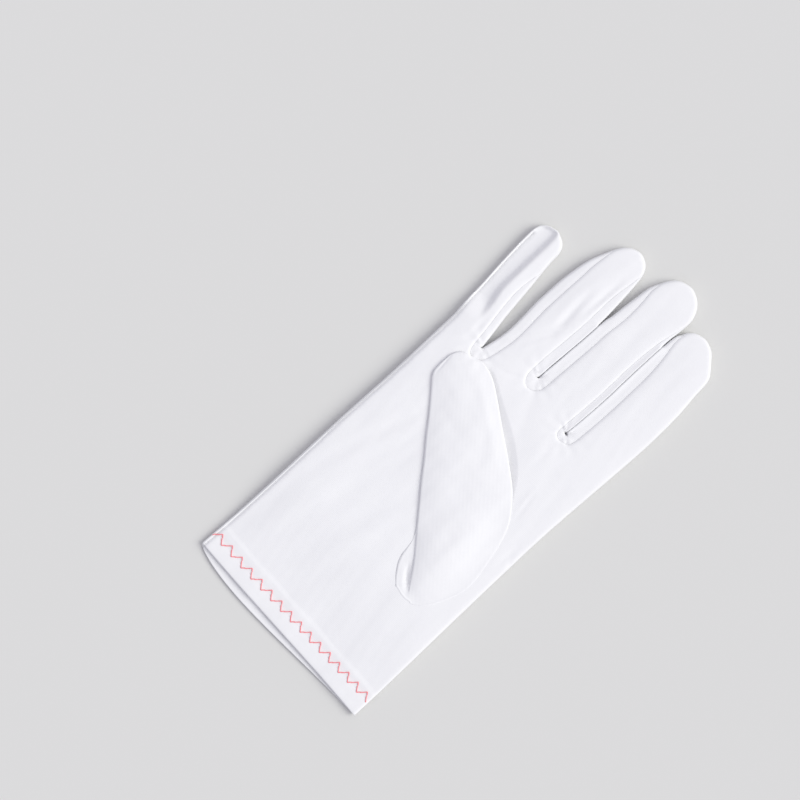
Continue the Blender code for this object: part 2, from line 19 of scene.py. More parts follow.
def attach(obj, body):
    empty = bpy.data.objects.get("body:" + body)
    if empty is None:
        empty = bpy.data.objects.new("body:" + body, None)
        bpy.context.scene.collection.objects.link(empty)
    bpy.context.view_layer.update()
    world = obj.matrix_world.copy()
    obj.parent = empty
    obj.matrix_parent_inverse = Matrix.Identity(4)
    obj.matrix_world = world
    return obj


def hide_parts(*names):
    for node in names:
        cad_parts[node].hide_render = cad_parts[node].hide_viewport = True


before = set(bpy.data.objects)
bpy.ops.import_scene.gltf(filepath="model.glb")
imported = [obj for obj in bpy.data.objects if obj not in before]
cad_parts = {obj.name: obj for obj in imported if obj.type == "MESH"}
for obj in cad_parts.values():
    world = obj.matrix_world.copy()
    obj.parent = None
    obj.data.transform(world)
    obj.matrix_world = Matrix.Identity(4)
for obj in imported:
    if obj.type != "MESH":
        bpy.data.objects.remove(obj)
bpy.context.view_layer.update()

MM = 0.001
WRIST_Y = -0.100  # the palm's wrist edge in the frame, and y below counts from it
print("nodes:", sorted(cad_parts))

# %% [markdown]
# ## Floor, light and camera
#
# The photograph looks straight down on the gloves, so the camera does too, turned by the angle at which the
# glove lies. A white thing on a pale ground needs a large soft light from one side: the side light draws the
# folds, and a bright surround keeps their shaded sides nearly white.

# %% The stage
PHOTO_PIXELS = 800
PIXEL = 0.46 * MM  # one pixel of the photograph at the height of the cloth
VIEW_RIGHT = Vector((0.6402, 0.7682, 0.0))
VIEW_UP = Vector((-0.7682, 0.6402, 0.0))
VIEW_CENTRE = Vector((-0.0423, 0.1118 + WRIST_Y, 0.0))
CAMERA_HEIGHT = 1.9
FLOOR_SIZE = 6.0
FLOOR_COLOUR = (0.672, 0.671, 0.653, 1)
SUN_FROM = VIEW_RIGHT - 0.05 * VIEW_UP
SUN_ELEVATION = math.radians(40)
SUN_SPREAD = math.radians(40)
SUN_STRENGTH = 2.04
SUN_COLOUR = (1.0, 1.0, 0.945)
SURROUND_COLOUR = (0.91, 0.905, 1.0, 1)
SURROUND_STRENGTH = 0.705


def new_object(name, data):
    obj = bpy.data.objects.new(name, data)
    bpy.context.scene.collection.objects.link(obj)
    return obj


def make_camera():
    data = bpy.data.cameras.new("camera")
    data.sensor_width = 36.0
    data.lens = data.sensor_width * CAMERA_HEIGHT / (PHOTO_PIXELS * PIXEL)
    camera = new_object("camera", data)
    camera.location = VIEW_CENTRE + Vector((0, 0, CAMERA_HEIGHT))
    camera.rotation_mode = "QUATERNION"
    turn = math.atan2(VIEW_RIGHT.y, VIEW_RIGHT.x)
    camera.rotation_quaternion = (math.cos(turn / 2), 0, 0, math.sin(turn / 2))
    bpy.context.scene.camera = camera


def set_inputs(node, values):
    for name, value in values.items():
        node.inputs[name].default_value = value


def new_material(name, settings):
    """A material with its shader set, and its nodes and links."""
    material = bpy.data.materials.new(name)
    material.use_nodes = True
    nodes = material.node_tree.nodes
    shader = nodes["Principled BSDF"]
    set_inputs(shader, settings)
    return material, nodes, material.node_tree.links, shader


def make_floor():
    bpy.ops.mesh.primitive_plane_add(size=FLOOR_SIZE)
    floor = bpy.context.object
    floor.name = "floor"
    settings = {"Base Color": FLOOR_COLOUR, "Roughness": 0.9, "Specular IOR Level": 0.1}
    material = new_material("pale_floor", settings)[0]
    floor.data.materials.append(material)


def make_sun():
    """A distant soft light from one side."""
    data = bpy.data.lights.new("key", "SUN")
    data.angle = SUN_SPREAD
    data.energy = SUN_STRENGTH
    data.color = SUN_COLOUR
    light = new_object("key", data)
    flat = SUN_FROM.normalized() * math.cos(SUN_ELEVATION)
    source = flat + Vector((0, 0, math.sin(SUN_ELEVATION)))
    light.rotation_euler = source.to_track_quat("Z", "Y").to_euler()


def make_surround():
    world = bpy.data.worlds.new("bright_surround")
    bpy.context.scene.world = world
    world.use_nodes = True
    background = world.node_tree.nodes["Background"]
    set_inputs(background, {"Color": SURROUND_COLOUR, "Strength": SURROUND_STRENGTH})


make_camera()
make_floor()
make_sun()
make_surround()
bpy.context.scene.view_settings.view_transform = "Standard"
print("mm across the view:", round(PHOTO_PIXELS * PIXEL / MM))

# %% [markdown]
# ## The cut of the glove
#
# A glove maker works from a pattern, and so does this script. Each finger has a width and a length, and a
# short table says where its two sides run, as shares of those sizes. The palm widens from wrist to knuckles
# in the same way. One smooth curve through each table gives as many points as a fine mesh needs.

# %% Sizes and tables of the cut
HAND_LENGTH = 0.1671
CUFF_WIDTH = 0.1058
CUFF_OFFSET = 0.0028
CUFF_SLANT = 0.0028
BACK_OVERHANG = 0.0044
HEM_DEPTH = 0.0095
KNUCKLE_OFFSET = -0.0047
CUFF_HEIGHT = 0.0029
HAND_HEIGHT = 0.0066
FINGER_HEIGHT = 0.0060
EDGE_HEIGHT = 0.0022
GUSSET_BAND = 0.0054
THROAT = 0.0068
SEAM_GAP = 0.00034  # between two sewn edges

# Each row of a finger is a share of its length, then its left and right side as shares of its width.
Finger = namedtuple("Finger", "name width length tip_round rows")
FINGERS = (
    Finger("little", 0.0203, 0.0605, 0.0080, (
        (0.00, -0.50, 0.50), (0.15, -0.57, 0.40), (0.30, -0.62, 0.30),
        (0.58, -0.74, 0.15), (0.83, -0.82, 0.01), (1.00, -0.82, -0.02),
    )),
    Finger("ring", 0.0271, 0.0778, 0.0130, (
        (0.00, -0.500, 0.500), (0.10, -0.455, 0.487), (0.20, -0.447, 0.486), (0.40, -0.510, 0.483),
        (0.50, -0.525, 0.472), (0.60, -0.530, 0.446), (0.76, -0.485, 0.390), (0.88, -0.385, 0.345),
        (1.00, -0.330, 0.350),
    )),
    Finger("middle", 0.0276, 0.0835, 0.0117, (
        (0.00, -0.500, 0.500), (0.15, -0.492, 0.500), (0.30, -0.507, 0.486), (0.45, -0.514, 0.455),
        (0.60, -0.504, 0.432), (0.72, -0.490, 0.420), (0.82, -0.470, 0.425), (0.90, -0.400, 0.415),
        (1.00, -0.360, 0.360),
    )),
    Finger("index", 0.0292, 0.0752, 0.0120, (
        (0.00, -0.500, 0.500), (0.12, -0.488, 0.495), (0.25, -0.493, 0.487), (0.40, -0.509, 0.465),
        (0.57, -0.536, 0.425), (0.72, -0.556, 0.360), (0.86, -0.555, 0.300), (0.95, -0.550, 0.165),
        (1.00, -0.560, 0.150),
    )),
)
# How far the ends of the fingers' roots lie below HAND_LENGTH, as shares of it.
ROOT_DROPS = (0.066, 0.066, 0.000, 0.041, 0.024)
# A share of the way up the hand, then how far its left and right side have come to the knuckles' width.
HAND_EDGES = (
    (0.00, 0.00, 0.00), (0.15, 0.06, 0.17), (0.34, 0.26, 0.43),
    (0.55, 0.52, 0.70), (0.75, 0.68, 0.92), (1.00, 1.00, 1.00),
)
Gusset = namedtuple("Gusset", "name left_end right_end left_band right_band throat")
GUSSETS = (
    Gusset("fourchette_little_ring", 0.70, 0.90, 0.75, 1.00, 0.95),
    Gusset("fourchette_ring_middle", 0.92, 0.88, 0.92, 1.00, 1.00),
    Gusset("fourchette_middle_index", 0.84, 0.92, 0.62, 1.05, 0.62),
)
KNUCKLE_WIDTH = sum(finger.width for finger in FINGERS)
TIP_POWER = 2.3  # a finger's round tip is a superellipse
TIP_REACH = 0.975
CREST = 0.6 * MM  # the bulge of its end
TOUCHING = (2, 3)  # the fingers that lie against the one to their left
TOUCH_RANGE = 1.2 * MM
TOUCH_GAP = 0.05 * MM
TOUCH_START = 1.5 * MM
OUTLINE_SPACING = 0.9 * MM
print("width over the knuckles mm:", round(KNUCKLE_WIDTH / MM, 1))

# %% [markdown]
# ### Smooth curves through short tables
#
# The curve is a cubic whose slope at each row comes from the rows beside it. It goes through every row, so a
# table can be corrected one line at a time. NumPy works on thousands of points at once, which keeps the
# script quick although the cloth is fine.

# %% Curve helpers


def mix(a, b, share):
    return a + (b - a) * share


def ease(share):
    share = np.clip(share, 0.0, 1.0)
    return share * share * (3 - 2 * share)


def spline(xs, ys, x):
    """A cubic through the points, with each slope taken from the points beside it."""
    xs, ys = np.asarray(xs, float), np.asarray(ys, float)
    x = np.clip(x, xs[0], xs[-1])
    slopes = np.empty_like(ys)
    slopes[1:-1] = (ys[2:] - ys[:-2]) / (xs[2:] - xs[:-2])
    slopes[0] = (ys[1] - ys[0]) / (xs[1] - xs[0])
    slopes[-1] = (ys[-1] - ys[-2]) / (xs[-1] - xs[-2])
    i = np.clip(np.searchsorted(xs, x, side="right") - 1, 0, len(xs) - 2)
    step = xs[i + 1] - xs[i]
    u = (x - xs[i]) / step
    eased = u * u * (3 - 2 * u)
    start = slopes[i] * step * u * (1 - u) ** 2
    end = slopes[i + 1] * step * u * u * (1 - u)
    return ys[i] + (ys[i + 1] - ys[i]) * eased + start - end


def smooth_path(points, spacing):
    """A smooth path through given points, with new points at an even spacing."""
    points = np.asarray(points, float)
    along = np.concatenate(([0], np.cumsum(np.linalg.norm(np.diff(points, axis=0), axis=1))))
    fine = np.linspace(0, along[-1], max(2, int(along[-1] / spacing * 4)))
    path = np.stack([spline(along, points[:, k], fine) for k in range(points.shape[1])], axis=1)
    return even_path(path, spacing)


def even_path(path, spacing):
    along = np.concatenate(([0], np.cumsum(np.linalg.norm(np.diff(path, axis=0), axis=1))))
    count = max(2, int(round(along[-1] / spacing)) + 1)
    places = np.linspace(0, along[-1], count)
    return np.stack([np.interp(places, along, path[:, k]) for k in range(path.shape[1])], axis=1)


def root_point(index):
    x = KNUCKLE_OFFSET - KNUCKLE_WIDTH / 2 + sum(finger.width for finger in FINGERS[:index])
    return np.array((x, HAND_LENGTH * (1 - ROOT_DROPS[index])))


def tip_line(index):
    return (root_point(index)[1] + root_point(index + 1)[1]) / 2 + FINGERS[index].length


def pressed(index, along, left):
    """A finger's left edge, drawn to the finger beside it where the two almost touch."""
    root = root_point(index)[1]
    up = (tip_line(index) - root) * along
    beside_along = up / (tip_line(index - 1) - root)
    _, other = finger_edges(index - 1, np.clip(beside_along, 0, 1))
    gap = np.clip(left - other, 0, TOUCH_RANGE)
    closed = TOUCH_GAP + (gap / TOUCH_RANGE) ** 3 * (TOUCH_RANGE - TOUCH_GAP)
    near = (left - other < TOUCH_RANGE) & (beside_along < 1)
    return np.where(near, other + closed * ease(up / TOUCH_START), left)


def finger_edges(index, along):
    """The left and right x of a finger at shares of its length, with its round tip."""
    finger = FINGERS[index]
    table = np.array(finger.rows)
    left, right = (spline(table[:, 0], table[:, k], along) for k in (1, 2))
    tip_start = 1 - finger.tip_round / finger.length
    tip = np.maximum(0.0, (along - tip_start) / (1 - tip_start)) * TIP_REACH
    half = (right - left) / 2 * (1 - tip**TIP_POWER) ** (1 / TIP_POWER)
    middle = (left + right) / 2
    centre = (root_point(index)[0] + root_point(index + 1)[0]) / 2
    left_x, right_x = centre + (middle - half) * finger.width, centre + (middle + half) * finger.width
    if index in TOUCHING:
        left_x = pressed(index, along, left_x)
    return left_x, right_x


def finger_point(index, along, across):
    """Plan points of a finger, at shares of its length and of its width."""
    along, across = np.broadcast_arrays(np.asarray(along, float), np.asarray(across, float))
    left, right = finger_edges(index, along)
    ya, yb = root_point(index)[1], root_point(index + 1)[1]
    crest = CREST * (1 - (2 * across - 1) ** 2) * np.maximum(0.0, along * 10 - 9)
    y = mix(mix(ya, yb, across), tip_line(index), along) + crest
    return np.stack((mix(left, right, across), y), axis=-1)


def cuff_point(across):
    x = CUFF_OFFSET + (across - 0.5) * CUFF_WIDTH
    return np.stack((x, CUFF_SLANT * ease(across)), axis=-1)


def hand_side(side):
    """The hand's left (0) or right (1) side in plan, from the wrist to the finger's root."""
    along = np.linspace(0, 1, 60)
    table = np.array(HAND_EDGES)
    start, end = cuff_point(np.float64(side)), root_point(4 * side)
    share = spline(table[:, 0], table[:, 1 + side], along)
    return np.stack((mix(start[0], end[0], share), mix(start[1], end[1], along)), axis=-1)


def make_outline(spacing):
    """The glove's outline in plan, from the wrist's left end round the fingers to its right end."""
    runs = [hand_side(0)]
    for index in range(4):
        along = 1 - (1 - np.linspace(0, 1, 90)) ** 1.6
        runs.append(finger_point(index, along, 0.0))
        runs.append(finger_point(index, 1.0, np.linspace(0, 1, 14)))
        runs.append(finger_point(index, along[::-1], 1.0))
    runs.append(hand_side(1)[::-1])
    stops = [even_path(run, spacing) for run in runs]
    return np.concatenate([stops[0]] + [run[1:] for run in stops[1:]])


OUTLINE = make_outline(OUTLINE_SPACING)
print("outline points:", len(OUTLINE), "length mm:", round(1000 * (OUTLINE[:, 1].max() - OUTLINE[0, 1]), 1))

# %% [markdown]
# ### Distances in plan
#
# Soft cloth rounds off towards its edges, sinks along its seams and bulges between them. All three depend on
# one measure: how far a point lies from a line. One function answers that for any path, and the height of
# the cloth is then written as plain formulas.

# %% Distance helpers


def path_distance(points, path):
    """The distance from each plan point to a path, and the share along the path that is nearest."""
    start, step = path[:-1], np.diff(path, axis=0)
    length = (step * step).sum(1)
    along = np.concatenate(([0], np.cumsum(np.sqrt(length))))
    best = np.full(len(points), 1e9)
    place = np.zeros(len(points))
    for i in range(len(start)):
        offset = points - start[i]
        share = np.clip(offset @ step[i] / length[i], 0, 1)
        away = np.hypot(offset[:, 0] - share * step[i, 0], offset[:, 1] - share * step[i, 1])
        near = away < best
        best[near] = away[near]
        place[near] = (along[i] + share[near] * (along[i + 1] - along[i])) / along[-1]
    return best, place


def inside(points, polygon):
    """Which plan points lie inside a closed polygon."""
    found = np.zeros(len(points), bool)
    x, y = points[:, 0], points[:, 1]
    for (xa, ya), (xb, yb) in zip(polygon, np.roll(polygon, -1, axis=0)):
        if ya == yb:
            continue
        crosses = (ya > y) != (yb > y)
        found ^= crosses & (x < (xb - xa) * (y - ya) / (yb - ya) + xa)
    return found


def beside(path, distance):
    """A path moved sideways, to its right where the distance is positive."""
    step = np.gradient(path, axis=0)
    step /= np.linalg.norm(step, axis=1)[:, None]
    return path + distance * np.stack((step[:, 1], -step[:, 0]), axis=1)


# %% [markdown]
# ## Seams
#
# A strip of cloth called a fourchette lines both sides of every gap between two fingers. Its seam leaves the
# tip of one finger, runs down beside the gap, turns round the root and climbs the next finger. Here each
# seam is one path, and the cloth is cut along it.

# %% The seams between the fingers
STRIP_STEPS = 12
STRIP_START = 0.04  # a strip's first point up the finger, as a share of its length
TAPER_START = 0.55
TAPER_LENGTH = 0.45
TAPER_END = 0.08  # the share of the band that is left at the strip's tip
TAPER_POWER = 2.1
THROAT_ANGLES = np.radians((200, 235, 270, 305, 340))
SEAM_PAST = 0.012  # a seam runs past the strip's end by this share of the finger
SEAM_OUT = 0.4 * MM  # and leaves the cloth there
SEAM_SPACING = 0.8 * MM


def gusset_side(index, across, end, band):
    share = np.arange(1, STRIP_STEPS + 1) / STRIP_STEPS
    past = np.maximum(0.0, (share - TAPER_START) / TAPER_LENGTH)
    inset = GUSSET_BAND * band * mix(1.0, TAPER_END, past**TAPER_POWER)
    points = finger_point(index, mix(STRIP_START, end, share), across)
    points[:, 0] += inset if across == 0 else -inset
    return points


def gusset_seam(number):
    """The seam of one strip, from the left finger's tip round the root to the right finger's tip."""
    gusset = GUSSETS[number]
    left = gusset_side(number, 1, gusset.left_end, gusset.left_band)
    right = gusset_side(number + 1, 0, gusset.right_end, gusset.right_band)
    band = mix(gusset.left_band, gusset.right_band, (1 + np.cos(THROAT_ANGLES)) / 2)
    throat_x = GUSSET_BAND * band * np.cos(THROAT_ANGLES)
    throat_y = THROAT * gusset.throat * np.sin(THROAT_ANGLES)
    throat = root_point(number + 1) + np.stack((throat_x, throat_y), axis=1)
    start = finger_point(number, gusset.left_end + SEAM_PAST, 1.0) + (SEAM_OUT, 0)
    end = finger_point(number + 1, gusset.right_end + SEAM_PAST, 0.0) - (SEAM_OUT, 0)
    return smooth_path(np.concatenate(([start], left[::-1], throat, right, [end])), SEAM_SPACING)


SEAMS = [gusset_seam(number) for number in range(len(GUSSETS))]
print("seam lengths mm:", [round(1000 * np.linalg.norm(np.diff(s, axis=0), axis=1).sum()) for s in SEAMS])

# %% [markdown]
# ## Folds
#
# Cloth that has been worn and laid down keeps long soft folds. Each one is a row in a table: where it starts
# and ends, how wide it is, and how far it sinks, or rises where the depth is negative. They were read off
# the photograph one by one. A few slow waves on top stop the flat stretches from looking like plastic.

# %% Fold tables, in millimetres from the wrist edge
# Each row: where a fold starts, where it ends, its width and how far it sinks.
HAND_FOLDS = (
    (-18.9, 222, -18.7, 205, 1.5, 0.80),
    (-23.8, 207, -21.6, 190, 1.8, 0.85),
    (-21.5, 190, -22.5, 180, 2.6, 0.50),
    (-20.6, 181, -24.4, 171, 1.0, -0.25),
    (-27.0, 220, -26.0, 196, 2.6, -0.22),
    (-14.1, 161.1, -20.2, 157.3, 0.9, 0.33),
    (-20.2, 157.3, -27.0, 155.5, 1.6, 0.15),
    (-43.6, 154.5, -46.8, 149.6, 0.9, 0.27),
    (-41.0, 153.5, -44.0, 148.0, 0.8, -0.15),
    (-46.0, 168, -44.5, 156, 1.2, 0.29),
    (3.0, 232, 4.0, 200, 3.5, 0.40),
    (7.5, 205, 6.0, 175, 3.0, 0.35),
    (30, 225, 33, 190, 3.5, 0.22),
    (27, 200, 30, 170, 3.0, -0.18),
    (-32, 113, -38.5, 92, 3.4, 0.45),
    (-39, 90, -43.5, 67, 3.2, 0.39),
    (-26, 104, -29, 84, 3.0, 0.21),
    (-36, 108, -42, 76, 3.0, -0.18),
    (-22, 92, -30, 40, 4.5, 0.21),
    (-8, 80, -18, 30, 4.5, 0.24),
    (-14, 84, -24, 36, 3.5, -0.18),
    (2, 70, -4, 26, 4.0, 0.21),
    (8, 66, 18, 20, 4.5, -0.21),
    (22, 50, 28, 18, 4.0, 0.21),
    (38, 52, 42, 20, 4.5, 0.18),
    (-44, 60, -45, 24, 3.5, 0.24),
    (-34, 60, -38, 22, 4.0, -0.15),
    (44.6, 108, 44.4, 100, 1.1, 0.33),
    (46.5, 104, 48.5, 101, 0.9, 0.27),
    (24, 152, 32, 132, 3.5, 0.18),
    (12, 154, 20, 136, 3.5, -0.15),
    (30.5, 130, 33.5, 118, 0.9, 0.27),
    (28.5, 134, 30.5, 122, 0.9, -0.15),
    (36, 150, 40, 126, 3.0, 0.15),
    (-4, 158, 2, 148, 2.5, 0.15),
    (18.6, 156, 19.5, 140, 1.4, 0.15),
)
# The waves' length, turn in degrees from across the hand, height and start.
WAVES = (
    (31.0, 8.0, 0.10, 0.3),
    (19.0, -14.0, 0.07, 1.9),
    (13.0, 21.0, 0.05, 4.1),
    (8.5, -6.0, 0.03, 2.7),
    (5.2, 12.0, 0.02, 5.2),
)
BEND_SIZE = 3 * MM  # the waves bend a little on their way up the hand
BEND_LENGTH = 27 * MM
SWELL_LENGTH = 2.3
FOLD_FADE = 2.5  # a fold fades out past its ends within this many widths
POCKET = ((19.9, 64.8, 25.2, 59.4, 1.0, 1.30),)
POCKET_EDGE = 0.4 * MM
# The little finger is creased lengthways, and its outer half lies lower.
CREASE_PATH = smooth_path(MM * np.array((
    (-47.2, 162.0), (-50.0, 173.1), (-52.1, 180.5), (-53.0, 192.2), (-54.4, 212.4), (-55.8, 221.0),
)), 1.0 * MM)
CREASE_DROP = 2.9 * MM
CREASE_WIDTH = 2.5 * MM
CREASE_TILT = 0.13
CREASE_SIDE = 6 * MM
CREASE_FADES = (0.22, 0.12)
CROTCH_TUCKS = (
    (-9.4, 166.2, -10.2, 162.2, 0.5, 0.35),
    (-9.0, 166.0, -6.6, 163.2, 0.5, 0.35),
    (-8.6, 166.8, -6.0, 167.4, 0.5, 0.30),
)
print("folds on the hand:", len(HAND_FOLDS))

# %% Folds, the crease and the waves as depths


def fold_depth(points, folds):
    """How far the folds press the cloth down, with ends that fade out."""
    depth = np.zeros(len(points))
    for xa, ya, xb, yb, width, sink in folds:
        start = np.array((xa, ya)) * MM
        step = np.array((xb, yb)) * MM - start
        length = np.linalg.norm(step)
        offset = points - start
        share = offset @ step / length**2
        side = (offset[:, 0] * step[1] - offset[:, 1] * step[0]) / length
        past = np.maximum(0, np.maximum(-share, share - 1)) * length
        middle = 0.55 + 0.45 * np.sin(np.pi * np.clip(share, 0, 1))
        fade = np.exp(-((past / (FOLD_FADE * width * MM)) ** 2)) * middle
        depth += sink * MM * np.exp(-((side / (width * MM)) ** 2)) * fade
    return depth


def crease_depth(points):
    """How far the little finger's outer half lies below its other half."""
    away, place = path_distance(points, CREASE_PATH)
    crease_x = np.interp(place, np.linspace(0, 1, len(CREASE_PATH)), CREASE_PATH[:, 0])
    outer = np.where(points[:, 0] < crease_x, away, -away)
    fade = ease(place / CREASE_FADES[0]) * ease((1 - place) / CREASE_FADES[1])
    tilt = CREASE_TILT * np.clip(outer, 0, CREASE_SIDE)
    return fade * (CREASE_DROP * ease(outer / CREASE_WIDTH + 0.5) + tilt)


def slow_waves(points):
    height = np.zeros(len(points))
    bend = BEND_SIZE * np.sin(points[:, 1] / BEND_LENGTH)
    for length, turn, size, start in WAVES:
        turn = math.radians(turn)
        across = points[:, 0] * math.cos(turn) + points[:, 1] * math.sin(turn) + bend
        swell = 0.6 + 0.4 * np.sin(points[:, 1] / (SWELL_LENGTH * length * MM) + start)
        height += size * MM * np.sin(2 * math.pi * across / (length * MM) + start) * swell
    return height


# %% [markdown]
# ## The height of the cloth
#
# The side folds follow a superellipse: steep at the very edge and flat within a few millimetres, because
# cloth laid flat is pressed there. Each seam sinks a groove, and the strip beside it lies a little lower
# than the finger. Round each gap the strip is gathered, which shows as a fan of short puckers.

# %% Sizes of the seams, the hem and the edges
EDGE_REACH = 1.4 * MM
EDGE_POWER = 2.2
CROWN_REACH = 16.0 * MM
CROWN_SHARE = 0.18
BACK_REACH = 2.0 * MM
DETAIL_REACH = 1.2 * MM  # folds and seams fade out this close to the edge
STRIP_DROP = 0.50 * MM
STRIP_REACH = 0.5 * MM
GROOVE_DEPTH = 0.45 * MM
GROOVE_WIDTH = 0.55 * MM
Puckers = namedtuple("Puckers", "size radius width")
INNER_PUCKERS = Puckers(0.26 * MM, 3.0, 2.4)  # the radius and width in millimetres
OUTER_PUCKERS = Puckers(0.10 * MM, 8.5, 2.6)
HEM_STEP = 0.30 * MM
HEM_STEP_WIDTH = 0.9 * MM
HEM_ROUNDING = 0.35 * MM
STITCH_DENT = 0.22 * MM
HEM_REACH = 1.6 * MM  # of the rounding and of the stitches' dent
BACK_HEM = 0.55 * MM
BACK_HEM_REACH = 4.0 * MM
BACK_SEAM = 0.25 * MM
HEM_LIFT = 0.45 * MM  # the back's hem stands a little off the floor
RAW_EDGE = 13.4 * MM  # the hem's raw edge shows through this far up
ZIGZAG_LINE = 7.9 * MM
ZIGZAG_CLIMB = 2.1 * MM  # the stitching wanders away from the edge towards the right
# Two fingers are pressed against the one to their left, from a start to an end, and rise there.
PRESSED_EDGES = (
    (2, 0.05, 0.44, 1.9 * MM),
    (3, 0.03, 0.76, 2.7 * MM),
)
PRESSED_REACH = 3.0 * MM
SIDE_INSET = 1.3 * MM
SIDE_END = 0.86  # how far up the little finger its side seam shows
SIDE_DEPTH = 0.95 * MM
SIDE_WIDTH = 0.38 * MM
TROUGH_DEPTH = 0.80 * MM
TROUGH_REACH = 3.4 * MM
TROUGH_FADE = 0.10
TROUGH = smooth_path(MM * np.array((
    (-31.2, 154.7), (-23.6, 152.9), (-11.9, 147.8), (5.0, 140.5), (17.6, 132.3), (25.2, 123.6), (31.0, 115.5),
)), OUTLINE_SPACING)
TROUGH_CLOSE = MM * np.array(((20.0, 100.0), (-22.0, 130.0), (-34.0, 148.0)))
side_path = np.concatenate((hand_side(0)[:-1], finger_point(0, np.linspace(0, SIDE_END, 60), 0.0)))
SIDE_SEAM = even_path(beside(even_path(side_path, 1.0 * MM), SIDE_INSET), OUTLINE_SPACING)
print("side seam points:", len(SIDE_SEAM))

# %% Height functions


def edge_rise(distance, reach):
    """0 at the edge and 1 from reach inwards, steep first and then flat."""
    short = 1 - np.clip(distance / reach, 0, 1)
    return (1 - short**EDGE_POWER) ** (1 / EDGE_POWER)


def pressed_rise(distance, reach, crown_share=CROWN_SHARE):
    """A pressed fold: most of the height within reach, and the rest as a long soft crown."""
    crown = 1 - (1 - np.clip(distance / CROWN_REACH, 0, 1)) ** 2
    return mix(edge_rise(distance, reach), crown, crown_share)


def full_height(y):
    up = y / HAND_LENGTH
    full = mix(CUFF_HEIGHT, HAND_HEIGHT, ease(up / 0.35))
    return mix(full, FINGER_HEIGHT, ease((up - 0.75) / 0.3))


def cuff_share(x):
    return (x - CUFF_OFFSET) / CUFF_WIDTH + 0.5


def above_cuff(points):
    """How far each point lies above the slanted wrist edge."""
    return points[:, 1] - CUFF_SLANT * ease(cuff_share(points[:, 0]))


def zigzag_line(across):
    """How far above the wrist edge the zigzag's middle runs."""
    return ZIGZAG_LINE + ZIGZAG_CLIMB * np.clip(across, 0, 1) ** 2.2


def puckers(points):
    """The fan of small gathers round each gap."""
    height = np.zeros(len(points))
    for number in range(len(GUSSETS)):
        offset = points - root_point(number + 1)
        away = np.hypot(offset[:, 0], offset[:, 1]) / MM
        angle = np.arctan2(offset[:, 1], offset[:, 0])
        fan = np.sin(7 * angle + 1.3 * number) + 0.5 * np.sin(11 * angle + 2.1 * number + 0.7)
        ring = np.exp(-(((away - INNER_PUCKERS.radius) / INNER_PUCKERS.width) ** 2))
        height += INNER_PUCKERS.size * fan * ring * np.clip(away / 1.5, 0, 1)
        fan = np.sin(9 * angle + 0.9 * number)
        ring = np.exp(-(((away - OUTER_PUCKERS.radius) / OUTER_PUCKERS.width) ** 2))
        height += OUTER_PUCKERS.size * fan * ring
    return height


def seam_distance(points):
    return np.min([path_distance(points, seam)[0] for seam in SEAMS], axis=0)


def side_groove(points):
    """The seam that closes the cloth at the little finger's side."""
    away, _ = path_distance(points, SIDE_SEAM)
    return SIDE_DEPTH * np.exp(-((away / SIDE_WIDTH) ** 2))


def thumb_trough(points):
    """The palm sinks beside the thumb, which pulls it down along its seam."""
    found = inside(points, np.concatenate((TROUGH, TROUGH_CLOSE)))
    away, place = path_distance(points, TROUGH)
    fade = ease(place / TROUGH_FADE) * ease((1 - place) / TROUGH_FADE)
    return found * TROUGH_DEPTH * np.clip(away / TROUGH_REACH, 0, 1) * fade


def in_strip(points):
    found = np.zeros(len(points), bool)
    for seam in SEAMS:
        found |= inside(points, seam)
    return found


def top_height(points):
    """The height of the palm's side of the cloth at plan points."""
    edge, _ = path_distance(points, OUTLINE)
    seam = seam_distance(points)
    rise = pressed_rise(edge, EDGE_REACH)
    detail = slow_waves(points) - fold_depth(points, HAND_FOLDS + CROTCH_TUCKS) + puckers(points)
    detail -= crease_depth(points)
    detail -= GROOVE_DEPTH * np.exp(-((seam / GROOVE_WIDTH) ** 2))
    detail -= STRIP_DROP * in_strip(points) * ease(seam / STRIP_REACH)
    detail -= side_groove(points)
    up, zigzag_middle = above_cuff(points), zigzag_line(cuff_share(points[:, 0]))
    hem = HEM_STEP * (1 - ease((up - RAW_EDGE) / HEM_STEP_WIDTH + 0.5))
    hem -= STITCH_DENT * np.exp(-(((up - zigzag_middle) / HEM_REACH) ** 2))
    hem -= HEM_ROUNDING * (1 - edge_rise(np.maximum(up, 0), HEM_REACH))
    full = full_height(points[:, 1]) + (detail + hem) * ease(edge / DETAIL_REACH)
    low = edge_level(points)
    return low + (full - low) * rise


def edge_level(points):
    """The height of the glove's edge, which rises where two fingers press against each other."""
    level = np.full(len(points), EDGE_HEIGHT)
    for index, start, end, rise in PRESSED_EDGES:
        away, _ = path_distance(points, finger_point(index, np.linspace(start, end, 40), 0.0))
        level += rise * (1 - ease(away / PRESSED_REACH))
    return level


def palm_height(points):
    return top_height(points) - thumb_trough(points) - fold_depth(points, POCKET)


def back_height(points):
    edge, _ = path_distance(points, OUTLINE)
    lift = edge_level(points) * (1 - edge_rise(edge, BACK_REACH))
    up, zigzag_middle = above_cuff(points), zigzag_line(cuff_share(points[:, 0]))
    hem = BACK_HEM * np.exp(-(((up - zigzag_middle) / BACK_HEM_REACH) ** 4))
    seam = BACK_SEAM * np.exp(-((seam_distance(points) / GROOVE_WIDTH) ** 2))
    return lift + np.maximum(hem, seam) + HEM_LIFT * (1 - ease(up / HEM_DEPTH))


# %% [markdown]
# ## Cutting and meshing the cloth
#
# A grid bends badly round fingertips and gaps. Instead, the plan is filled with triangles by a constrained
# Delaunay triangulation: outline and seams become exact edges, and an even field of points fills the rest.
# The same outline points serve the palm's side and the back, so the two sheets join in one skin. Solidify
# then gives the skin its wall.

